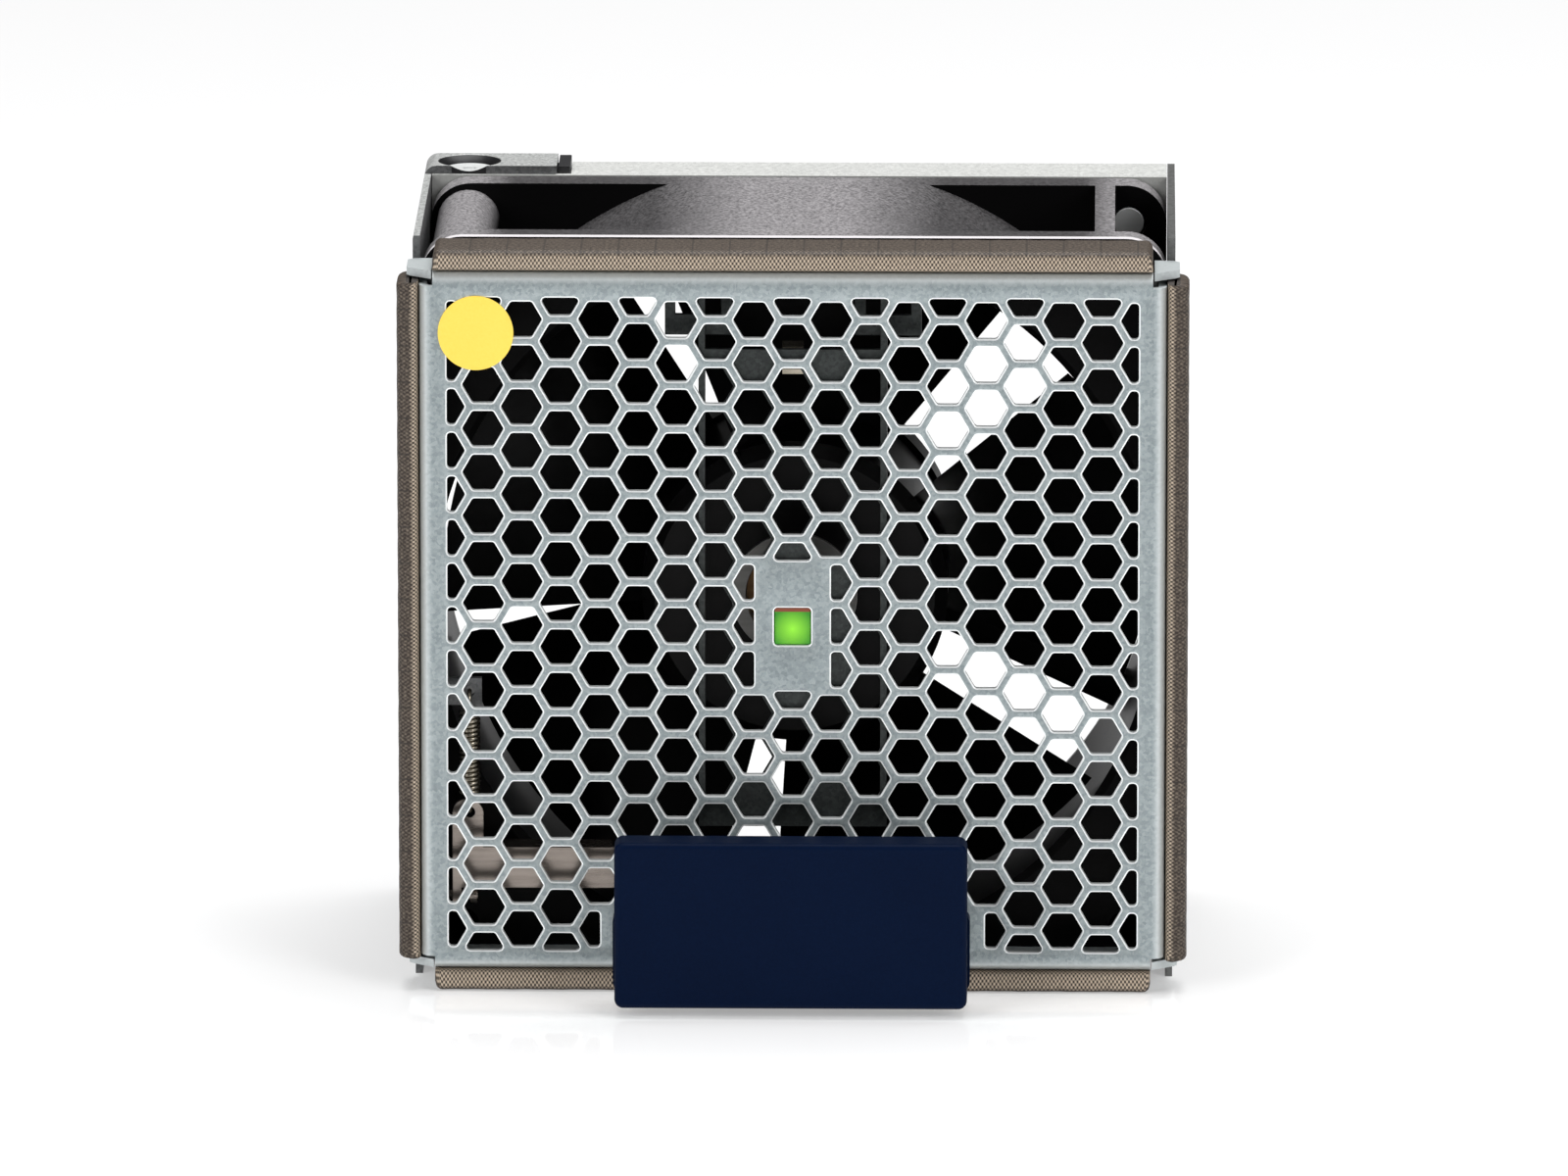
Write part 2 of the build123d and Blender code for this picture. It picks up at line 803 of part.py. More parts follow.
# Fan frame: two square flanges, a waisted barrel, corner bosses, motor base and struts
with BuildPart() as fan_frame:
    with BuildSketch(fan_section):
        with BuildLine():
            Line((fan_front, duct_r), (fan_front, barrel_end_r))
            ThreePointArc(
                (fan_front, barrel_end_r),
                ((fan_front + fan_rear) / 2, barrel_waist_r),
                (fan_rear, barrel_end_r),
            )
            Line((fan_rear, barrel_end_r), (fan_rear, duct_r))
            Line((fan_rear, duct_r), (fan_front, duct_r))
        make_face()
    revolve(axis=fan_axis)
    for depth in (fan_front, fan_rear - flange_t):
        with BuildSketch(facing_fan(depth)):
            RectangleRounded(fan_size, fan_size, fan_corner_r)
            Circle(duct_r, mode=Mode.SUBTRACT)
        extrude(amount=-flange_t)
    with BuildSketch(facing_fan(fan_front)):
        for side in (-1, 1):
            for edge in (-1, 1):
                if side < 0 or edge < 0:
                    with Locations((side * fan_hole_spacing / 2, edge * fan_hole_spacing / 2)):
                        Circle(corner_boss_r)
        with Locations((corner_rib_x, fan_size / 2 - corner_boss_r)):
            Rectangle(corner_rib_w, 2 * corner_boss_r)
        rect(
            corner_rib_x - corner_boss_r * 2,
            fan_size / 2 - corner_boss_r * 4,
            corner_rib_x + corner_rib_w / 2,
            fan_size / 2 - corner_boss_r * 2,
        )
        Circle(duct_r, mode=Mode.SUBTRACT)
    extrude(amount=-fan_depth)
    # trim everything to the square of the flanges
    with BuildSketch(facing_fan(fan_front)):
        RectangleRounded(fan_size, fan_size, fan_corner_r)
    extrude(amount=-fan_depth, mode=Mode.INTERSECT)
    # rounded mouth of the duct
    chamfer(
        fan_frame.edges().filter_by(GeomType.CIRCLE).filter_by(
            lambda edge: abs(edge.radius - duct_r) < running_gap
            and abs(edge.center().Y - face_y - fan_front) < running_gap
        ),
        length=duct_mouth,
    )
    # motor base and struts
    with BuildSketch(facing_fan(fan_rear - strut_t)):
        for turn in range(strut_count):
            with PolarLocations((duct_r + base_r) / 2, 1, start_angle=strut_turn + turn * 360 / strut_count):
                Rectangle(duct_r - base_r + 2 * base_wall, strut_w)
        Circle(base_r)
    extrude(amount=-strut_t)
    with BuildSketch(facing_fan(fan_rear - base_cup_depth)):
        Circle(base_r)
        Circle(base_r - base_wall, mode=Mode.SUBTRACT)
    extrude(amount=-base_cup_depth)
    # bearing tube bore and screw holes
    with BuildSketch(facing_fan(fan_rear - strut_t)):
        Circle(bearing_r + tube_wall)
    extrude(amount=-strut_t + base_wall, mode=Mode.SUBTRACT)
    with BuildSketch(facing_fan(fan_front)):
        with GridLocations(fan_hole_spacing, fan_hole_spacing, 2, 2):
            Circle(fan_hole_r)
    extrude(amount=-fan_depth, mode=Mode.SUBTRACT)
keep(fan_frame.part, "fan_frame")

# Screws that hold the fan to the rear frame
with BuildPart() as fan_screws:
    for place in fan_screw_places:
        with BuildSketch(facing(frame_front + frame_t)):
            with Locations(place):
                Circle(fan_screw_head_r)
        extrude(amount=-fan_screw_head_h)
        with BuildSketch(facing(frame_front + frame_t)):
            with Locations(place):
                Circle(fan_screw_r)
        extrude(amount=fan_screw_l)
keep(fan_screws.part, "fan_screws")

# Motor: bearing tube, bearings, stator and board, all on the base
tube_rear = fan_rear - base_wall
tube_front = tube_rear - tube_l
with BuildPart() as bearing_tube:
    with BuildSketch(facing_fan(tube_front)):
        Circle(bearing_r + tube_wall)
        Circle(bearing_r + running_gap, mode=Mode.SUBTRACT)
    extrude(amount=-tube_l)
keep(bearing_tube.part, "bearing_tube")

for name, depth in (("front_bearing", tube_front), ("rear_bearing", tube_rear - bearing_w - overrun)):
    with BuildPart() as bearing:
        with BuildSketch(facing_fan(depth)):
            Circle(bearing_r)
            Circle(shaft_r + running_gap, mode=Mode.SUBTRACT)
        extrude(amount=-bearing_w)
    keep(bearing.part, name)

hub_rear = hub_front + hub_depth
yoke_r = hub_r - hub_wall
magnet_out_r = yoke_r - yoke_t
stator_r = magnet_out_r - magnet_t - stator_gap
board_front = fan_rear - base_cup_depth
stator_front = board_front - coil_t - stator_l - loose_gap
tube_out_r = bearing_r + tube_wall

with BuildPart() as motor_board:
    with BuildSketch(facing_fan(board_front)):
        Circle(motor_board_r)
        Circle(tube_out_r, mode=Mode.SUBTRACT)
    extrude(amount=-motor_board_t)
keep(motor_board.part, "motor_board")

with BuildPart() as stator_core:
    with BuildSketch(facing_fan(stator_front)):
        Circle(stator_r)
        Circle(stator_r - stator_shoe_t, mode=Mode.SUBTRACT)
        for turn in range(slot_count):
            slot_angle = (turn + half_share) * 360 / slot_count
            with PolarLocations(stator_r - stator_shoe_t / 2, 1, start_angle=slot_angle):
                Rectangle(stator_shoe_t * 2, slot_w, mode=Mode.SUBTRACT)
        for turn in range(slot_count):
            with PolarLocations(stator_r / 2, 1, start_angle=turn * 360 / slot_count):
                Rectangle(stator_r - stator_shoe_t / 2, stator_neck_w)
        Circle(stator_hub_r)
        Circle(tube_out_r, mode=Mode.SUBTRACT)
    extrude(amount=-stator_l)
keep(stator_core.part, "stator_core")

coil_in = stator_hub_r + seat_gap
coil_out = stator_r - stator_shoe_t - loose_gap
with BuildPart() as stator_coils:
    with BuildSketch(facing_fan(stator_front - coil_t + seat_gap)):
        for turn in range(slot_count):
            with PolarLocations((coil_in + coil_out) / 2, 1, start_angle=turn * 360 / slot_count):
                Rectangle(coil_out - coil_in, stator_neck_w + 2 * coil_t)
        Circle(stator_r - stator_shoe_t - seat_gap, mode=Mode.INTERSECT)
        Circle(stator_hub_r + seat_gap, mode=Mode.SUBTRACT)
    extrude(amount=-stator_l - 2 * coil_t + 2 * seat_gap)
    with BuildSketch(facing_fan(stator_front)):
        for turn in range(slot_count):
            with PolarLocations((coil_in + coil_out) / 2, 1, start_angle=turn * 360 / slot_count):
                Rectangle(coil_out - coil_in + 2 * overrun, stator_neck_w + 2 * running_gap)
    extrude(amount=-stator_l, mode=Mode.SUBTRACT)
keep(stator_coils.part, "stator_coils")

# Rotor: hub with blades, steel yoke, magnet, boss and shaft
root_r = hub_r - hub_wall
tip_r = duct_r - blade_tip_gap
blade_root = hub_r - blade_root_sink
with BuildPart() as blade:
    for height in (blade_root, (blade_root + duct_r) / 2, duct_r):
        width = 2 * height * tan(radians(blade_spread / 2))
        chord = sqrt(width**2 + blade_reach**2)
        section = Plane(
            origin=(0, face_y + blade_middle, fan_z + height),
            x_dir=(width, blade_reach, 0),
            z_dir=(0, 0, 1),
        )
        with BuildSketch(section):
            with BuildLine():
                ThreePointArc((-chord / 2, 0), (0, blade_camber), (chord / 2, 0))
                ThreePointArc((-chord / 2, 0), (0, blade_camber - blade_t), (chord / 2, 0))
            make_face()
    loft()

with BuildPart() as impeller:
    for turn in range(blade_count):
        add(blade.part.rotate(fan_axis, blade_start + turn * 360 / blade_count))
    with BuildSketch(facing_fan(hub_front)):
        Circle(tip_r)
        Circle(root_r + hub_wall / 2, mode=Mode.SUBTRACT)
    extrude(amount=-hub_depth, mode=Mode.INTERSECT)
    with BuildSketch(fan_section):
        with BuildLine():
            Polyline(
                (hub_front, hub_ring_r),
                (hub_front, hub_r - hub_round),
                (hub_front + hub_round, hub_r),
                (hub_rear, hub_r),
                (hub_rear, hub_r - hub_wall),
                (hub_front + hub_wall, hub_r - hub_wall),
                (hub_front + hub_wall, hub_ring_r),
                close=True,
            )
        make_face()
    revolve(axis=fan_axis)
keep(impeller.part, "impeller")

yoke_front = hub_front + hub_wall
with BuildPart() as rotor_yoke:
    with BuildSketch(fan_section):
        with BuildLine():
            Polyline(
                (yoke_front, hub_ring_r),
                (yoke_front, yoke_r),
                (yoke_front + yoke_l, yoke_r),
                (yoke_front + yoke_l, magnet_out_r),
                (yoke_front + yoke_t, magnet_out_r),
                (yoke_front + yoke_t, hub_ring_r),
                close=True,
            )
        make_face()
    revolve(axis=fan_axis)
keep(rotor_yoke.part, "rotor_yoke")

with BuildPart() as rotor_magnet:
    with BuildSketch(facing_fan(yoke_front + yoke_t)):
        Circle(magnet_out_r)
        Circle(magnet_out_r - magnet_t, mode=Mode.SUBTRACT)
    extrude(amount=-magnet_l)
keep(rotor_magnet.part, "rotor_magnet")

boss_front = hub_front - hub_ring_proud + boss_recess
with BuildPart() as hub_ring:
    with BuildSketch(facing_fan(hub_front - hub_ring_proud)):
        Circle(hub_ring_r)
        Circle(hub_ring_r - hub_ring_wall, mode=Mode.SUBTRACT)
    extrude(amount=-boss_recess - boss_t)
keep(hub_ring.part, "hub_ring")

with BuildPart() as hub_boss:
    with BuildSketch(facing_fan(boss_front)):
        Circle(hub_ring_r - hub_ring_wall)
        Circle(shaft_r, mode=Mode.SUBTRACT)
    extrude(amount=-boss_t)
keep(hub_boss.part, "hub_boss")

with BuildPart() as rotor_shaft:
    with BuildSketch(facing_fan(boss_front)):
        Circle(shaft_r)
    extrude(amount=-shaft_l)
keep(rotor_shaft.part, "rotor_shaft")

with BuildPart() as shaft_clip:
    with BuildSketch(facing_fan(tube_rear - overrun + seat_gap)):
        Circle(clip_r)
        Circle(shaft_r, mode=Mode.SUBTRACT)
    extrude(amount=-clip_t)
keep(shaft_clip.part, "shaft_clip")

# Latch lever: one folded sheet with the arm, the ear, the stem and the tooth
lever_back = lever_front + lever_t
tongue_back = -handle_reach + pad_t + seat_gap + lever_t
with BuildPart() as latch_lever:
    with BuildSketch(facing(lever_front)):
        rect(-lever_left, lever_bottom, -plate_left, lever_top)
        rect(-lever_left, lever_bottom, -lever_left + arm_w, arm_top)
        rect(-plate_left, plate_bottom, plate_right, plate_top)
        rect(-stem_w / 2, stem_bottom, stem_w / 2, plate_bottom)
        rect(plate_right - tooth_w, tooth_tip, plate_right, plate_bottom)
        with Locations((-pivot_x, pivot_z)):
            Circle(journal_r + running_gap, mode=Mode.SUBTRACT)
        with Locations((-spring_x, arm_hole_z)):
            Circle(eye_hole_r, mode=Mode.SUBTRACT)
    extrude(amount=-lever_t)
    arm_corners = latch_lever.edges().filter_by(Axis.Y).filter_by_position(
        Axis.Z, arm_top - running_gap, arm_top + running_gap
    )
    fillet(arm_corners, radius=arm_w * half_share - running_gap)
    # lips along the bar
    for lip_z in (lever_bottom, lever_top - lever_t):
        with BuildSketch(level(lip_z)):
            rect(-lever_left + arm_w, lever_back, -lip_right, lever_back + lever_lip)
        extrude(amount=lever_t)
    # ear beside the side plate, slotted for the guide pin over the whole travel
    ear_travel = (lever_left - pivot_x) * sin(radians(lever_range))
    with BuildSketch(upright(-lever_left)):
        rect(lever_front, ear_bottom, lever_back + ear_w, lever_top)
        with Locations((lever_back + ear_w * half_share, guide_z + ear_travel * half_share)):
            SlotCenterToCenter(
                ear_travel + 2 * seat_gap, 2 * (guide_r + seat_gap), rotation=90, mode=Mode.SUBTRACT
            )
    extrude(amount=lever_t)
    # stem through the panel, turned up behind the pad
    with BuildSketch(level(stem_bottom)):
        rect(-stem_w / 2, tongue_back - lever_t, stem_w / 2, lever_back)
    extrude(amount=lever_t)
    with BuildSketch(facing(tongue_back)):
        rect(-stem_w / 2, stem_bottom, stem_w / 2, tongue_top)
    extrude(amount=lever_t)
keep(latch_lever.part, "latch_lever")

# Pivot stud pressed in the panel, and the retaining ring on it
with BuildPart() as pivot_stud:
    with BuildSketch(facing(0)):
        with Locations((-pivot_x, pivot_z)):
            Circle(journal_r)
    extrude(amount=-lever_back - journal_over)
    with BuildSketch(facing(sheet_t)):
        with Locations((-pivot_x, pivot_z)):
            Circle(shoulder_r)
    extrude(amount=-lever_front + sheet_t + seat_gap)
    with BuildSketch(facing(lever_back + seat_gap)):
        with Locations((-pivot_x, pivot_z)):
            Circle(journal_r + overrun)
            Circle(journal_r - groove_depth, mode=Mode.SUBTRACT)
    extrude(amount=-ring_t - seat_gap, mode=Mode.SUBTRACT)
keep(pivot_stud.part, "pivot_stud")

with BuildPart() as retaining_ring:
    with BuildSketch(facing(lever_back + seat_gap + running_gap)):
        with Locations((-pivot_x, pivot_z)):
            Circle(ring_r)
            Circle(journal_r - groove_depth + running_gap, mode=Mode.SUBTRACT)
            with Locations((0, -ring_r)):
                Rectangle(2 * (journal_r - groove_depth), 2 * ring_r, mode=Mode.SUBTRACT)
    extrude(amount=-ring_t)
keep(retaining_ring.part, "retaining_ring")

# Headed pin on the left side plate that guides the ear
with BuildPart() as guide_pin:
    with BuildSketch(upright(-lap_in)):
        with Locations((lever_back + ear_w * half_share, guide_z)):
            Circle(guide_r)
    extrude(amount=lap_in - lever_left + lever_t + 2 * overrun)
    with BuildSketch(upright(-lever_left + lever_t + overrun)):
        with Locations((lever_back + ear_w * half_share, guide_z)):
            Circle(guide_head_r)
    extrude(amount=guide_head_l)
keep(guide_pin.part, "guide_pin")

# Extension spring between the anchor tab and the arm: close coils with an eye at each end
spring_y = face_y + lever_front + lever_t * half_share
coil_bottom = arm_hole_z + 2 * hook_eye_r - wire_r
coil_top = anchor_hole_z - 2 * hook_eye_r + wire_r
coil_step = (coil_top - coil_bottom) / coil_count
with BuildPart() as return_spring:
    with BuildSketch(Plane(origin=(-spring_x, spring_y, 0), x_dir=(1, 0, 0), z_dir=(0, -1, 0))):
        outline = [(0, coil_bottom)]
        for turn in range(coil_count):
            outline.append((spring_r - wire_r, coil_bottom + turn * coil_step))
            outline.append((spring_r, coil_bottom + (turn + half_share) * coil_step))
        outline.append((spring_r - wire_r, coil_top))
        outline.append((0, coil_top))
        with BuildLine():
            Polyline(*outline, close=True)
        make_face()
    revolve(axis=Axis((-spring_x, spring_y, 0), (0, 0, 1)))
    for eye_z in (arm_hole_z + hook_eye_r, anchor_hole_z - hook_eye_r):
        with BuildSketch(Plane(origin=(-spring_x, spring_y, eye_z), x_dir=(1, 0, 0), z_dir=(0, -1, 0))):
            with Locations((0, hook_eye_r)):
                RegularPolygon(radius=wire_r, side_count=6)
        revolve(axis=Axis((-spring_x, spring_y, eye_z), (1, 0, 0)))
keep(return_spring.part, "return_spring")

# Handle: moulded pad, back cover and their screws
with BuildPart() as handle_pad:
    with BuildSketch(facing(-handle_reach)):
        with Locations((0, (pad_bottom + pad_top) / 2)):
            RectangleRounded(pad_w, pad_top - pad_bottom, pad_corner_r)
    extrude(amount=-pad_t)
    fillet(handle_pad.faces().sort_by(Axis.Y)[0].edges(), radius=pad_edge_r)
    with BuildSketch(facing(-handle_reach + pad_t)):
        for side in (-1, 1):
            with Locations((side * handle_screw_spacing / 2, handle_screw_z)):
                Circle(handle_screw_r)
    extrude(amount=handle_screw_l - cover_t, mode=Mode.SUBTRACT)
keep(handle_pad.part, "handle_pad")

cover_front = -handle_reach + pad_t
with BuildPart() as handle_cover:
    with BuildSketch(facing(cover_front)):
        with Locations((0, (cover_bottom + cover_top) / 2)):
            RectangleRounded(cover_w, cover_top - cover_bottom, pad_corner_r)
    extrude(amount=-cover_t)
    fillet(handle_cover.faces().sort_by(Axis.Y)[-1].edges(), radius=pad_edge_r)
    with BuildSketch(facing(cover_front)):
        rect(
            -stem_w / 2 - seat_gap,
            stem_bottom - seat_gap,
            stem_w / 2 + seat_gap,
            tongue_top + seat_gap,
        )
    extrude(amount=-lever_t - 2 * seat_gap, mode=Mode.SUBTRACT)
    with BuildSketch(facing(cover_front)):
        rect(
            -stem_w / 2 - seat_gap,
            stem_bottom - seat_gap,
            stem_w / 2 + seat_gap,
            stem_bottom + lever_t + seat_gap,
        )
        for side in (-1, 1):
            with Locations((side * handle_screw_spacing / 2, handle_screw_z)):
                Circle(handle_screw_r)
    extrude(amount=-cover_t - overrun, mode=Mode.SUBTRACT)
keep(handle_cover.part, "handle_cover")

with BuildPart() as handle_screws:
    for side in (-1, 1):
        with BuildSketch(facing(cover_front + cover_t)):
            with Locations((side * handle_screw_spacing / 2, handle_screw_z)):
                Circle(handle_screw_head_r)
        extrude(amount=-handle_screw_head_h)
        with BuildSketch(facing(cover_front + cover_t)):
            with Locations((side * handle_screw_spacing / 2, handle_screw_z)):
                Circle(handle_screw_r)
        extrude(amount=handle_screw_l)
keep(handle_screws.part, "handle_screws")

# Rear connector under the bracket: a moulded shell open to the rear, and its pins
connector_left = -frame_half + frame_t + seat_gap
connector_front = frame_front + frame_t + seat_gap
lug_right = -plate_in + connector_bay_w
with BuildPart() as connector_housing:
    with BuildSketch(facing(connector_front)):
        rect(connector_left, connector_top - connector_h, connector_left + connector_w, connector_top)
        rect(lug_right - lug_w, connector_top - connector_wall, lug_right, bracket_z0 - seat_gap)
        rect(lug_right - lug_lip_w, connector_top - connector_wall, lug_right, bracket_top - seat_gap)
    extrude(amount=-connector_depth)
    with BuildSketch(facing(connector_front + connector_floor)):
        rect(
            connector_left + connector_wall,
            connector_top - connector_h + connector_wall,
            connector_left + connector_w - connector_wall,
            connector_top - connector_wall,
        )
    extrude(amount=-connector_depth, mode=Mode.SUBTRACT)
keep(connector_housing.part, "connector_housing")

with BuildPart() as connector_pins:
    with BuildSketch(facing(connector_front + connector_floor)):
        with Locations((connector_left + connector_w / 2, connector_top - connector_h / 2)):
            with GridLocations(pin_pitch, pin_pitch, pin_columns, pin_rows):
                Rectangle(pin_w, pin_w)
    extrude(amount=-pin_l)
keep(connector_pins.part, "connector_pins")
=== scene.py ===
"""Looks of the switch fan tray: a perforated sheet panel with gaskets, a square fan and a latch handle."""
import logging
import math
from dataclasses import dataclass
from enum import Enum
from functools import reduce

import bmesh
import bpy
from mathutils import Matrix, Vector


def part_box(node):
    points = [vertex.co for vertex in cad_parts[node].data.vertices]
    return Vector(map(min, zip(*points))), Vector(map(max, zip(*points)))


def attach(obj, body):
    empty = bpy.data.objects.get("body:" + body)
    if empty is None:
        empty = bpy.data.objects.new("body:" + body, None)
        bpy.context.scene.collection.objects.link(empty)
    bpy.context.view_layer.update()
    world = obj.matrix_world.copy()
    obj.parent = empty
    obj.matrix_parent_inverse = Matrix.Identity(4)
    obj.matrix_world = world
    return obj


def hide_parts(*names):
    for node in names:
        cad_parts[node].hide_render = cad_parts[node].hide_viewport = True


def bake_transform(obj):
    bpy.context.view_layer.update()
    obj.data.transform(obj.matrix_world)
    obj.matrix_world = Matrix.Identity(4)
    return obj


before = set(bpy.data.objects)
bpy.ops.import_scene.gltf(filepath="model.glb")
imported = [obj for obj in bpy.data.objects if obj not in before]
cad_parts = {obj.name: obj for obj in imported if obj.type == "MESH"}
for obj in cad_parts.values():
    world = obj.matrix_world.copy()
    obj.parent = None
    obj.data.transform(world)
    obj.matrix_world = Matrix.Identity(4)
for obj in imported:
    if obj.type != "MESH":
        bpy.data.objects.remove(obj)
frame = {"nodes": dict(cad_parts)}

log = logging.getLogger("fan_tray")
MM = 0.001
FACE_Y = -21.2
MERGE = 0.002 * MM
Colour = tuple[float, float, float, float]
Rgb = tuple[int, int, int]
Point = tuple[float, float]
Looks = dict[str, object]
Node = bpy.types.Node
Piece = bpy.types.Object
Socket = bpy.types.NodeSocket


def srgb(red: float, green: float, blue: float) -> Colour:
    """A linear colour with a full alpha, from the usual 0 to 255 values."""
    parts = [(part / 255 + 0.055) / 1.055 for part in (red, green, blue)]
    return (*(part**2.4 if part > 0.0905 else (part * 1.055 - 0.055) / 12.92 for part in parts), 1.0)


class Pattern(Enum):
    """What a surface shows from close up."""

    SPANGLE = "zinc_spangle"
    BRUSHED = "drawn_sheet"
    MOULDED = "moulded_grain"
    WEAVE = "woven_cloth"


class Graph:
    """A short way to add and join the nodes of one tree."""

    def __init__(self, tree: bpy.types.NodeTree) -> None:
        """Keeps the tree that the nodes go in, and later the coordinates of its pattern."""
        self.tree = tree
        self.place: object = None

    def add(self, kind: str, **values: object) -> Node:
        """Adds a node and sets its properties and inputs.

        Args:
            kind: The node's type name.
            values: Properties by name, and inputs by name with spaces as underscores, as values or sockets.

        Returns:
            The new node.
        """
        node = self.tree.nodes.new(kind)
        for name, value in values.items():
            if hasattr(node, name) and name not in node.inputs:
                setattr(node, name, value)
        for name, value in values.items():
            socket = self.socket(node, name)
            if socket is not None:
                self.feed(socket, value)
        return node

    @staticmethod
    def socket(node: Node, name: str) -> Socket | None:
        """The input with that name or, after the letter i, that number."""
        numbered = name[0] == "i" and name[1:].isdigit()
        return node.inputs[int(name[1:])] if numbered else node.inputs.get(name.replace("_", " "))

    def feed(self, socket: Socket, value: object) -> None:
        """Gives an input its value, or joins a node's first output or a socket to it.

        Args:
            socket: The input.
            value: The value, node or socket.
        """
        if isinstance(value, Node):
            value = value.outputs[0]
        if isinstance(value, Socket):
            self.tree.links.new(value, socket)
        else:
            socket.default_value = value

    def math(self, operation: str, first: object, second: object = 0.0) -> Node:
        """A Math node on one or two values."""
        return self.add("ShaderNodeMath", operation=operation, i0=first, i1=second)

    def product(self, *factors: object) -> Node:
        """Several values multiplied one after the other."""
        return reduce(lambda first, other: self.math("MULTIPLY", first, other), factors)

    def ramp(self, value: object, start: float, end: float, low: float = 0.0, high: float = 1.0) -> Node:
        """Maps a value from start and end to low and high, held at both ends."""
        ends = {"From_Min": start, "From_Max": end, "To_Min": low, "To_Max": high}
        return self.add("ShaderNodeMapRange", Value=value, **ends)

    def blend(self, share: object, first: object, second: object, held: bool = True) -> Socket:
        """Mixes two colours by the share of the second, which may pass 1 where it isn't held."""
        mixed = self.add("ShaderNodeMix", data_type="RGBA", clamp_factor=held, i0=share, i6=first, i7=second)
        return mixed.outputs[2]

    def axes(self, vector: object) -> bpy.types.bpy_prop_collection:
        """The three parts of a vector."""
        return self.add("ShaderNodeSeparateXYZ", Vector=vector).outputs

    def facing(self) -> bpy.types.bpy_prop_collection:
        """The three parts of the way that a face looks."""
        return self.axes(self.add("ShaderNodeNewGeometry").outputs["Normal"])

    def noise(self, spot: object, scale: object, detail: float = 2.0, rough: float = 0.5) -> Node:
        """A Noise Texture with its coordinates, its fineness, and its finer layers and their strength."""
        return self.add("ShaderNodeTexNoise", Vector=spot, Scale=scale, Detail=detail, Roughness=rough)

    def vector(self, operation: str, first: object, second: object) -> Node:
        """A Vector Math node on two vectors."""
        return self.add("ShaderNodeVectorMath", operation=operation, i0=first, i1=second)

    def join(self, *parts: Socket) -> Node:
        """Several geometries in one.

        Args:
            parts: The geometry sockets, in their order.

        Returns:
            The Join Geometry node.
        """
        joined = self.add("GeometryNodeJoinGeometry")
        for part in parts:
            self.tree.links.new(part, joined.inputs[0])
        return joined


@dataclass(frozen=True)
class Grain:
    """How a pattern mixes its fine noise with its broad noise and with cells."""

    fine_share: float
    broad_share: float
    broad_scale: float
    cell_share: float = 0.0
    fine_scale: float = 1.0
    detail: float = 3.0
    rough: float = 0.5
    stretch: float = 1.0


GRAINS: dict[Pattern, Grain] = {
    Pattern.SPANGLE: Grain(0.4, 0.3, 0.05, cell_share=0.35, fine_scale=3.1),
    Pattern.BRUSHED: Grain(0.5, 0.5, 0.06, detail=4.0, stretch=0.08),
    Pattern.MOULDED: Grain(0.6, 0.4, 0.02, rough=0.6),
}


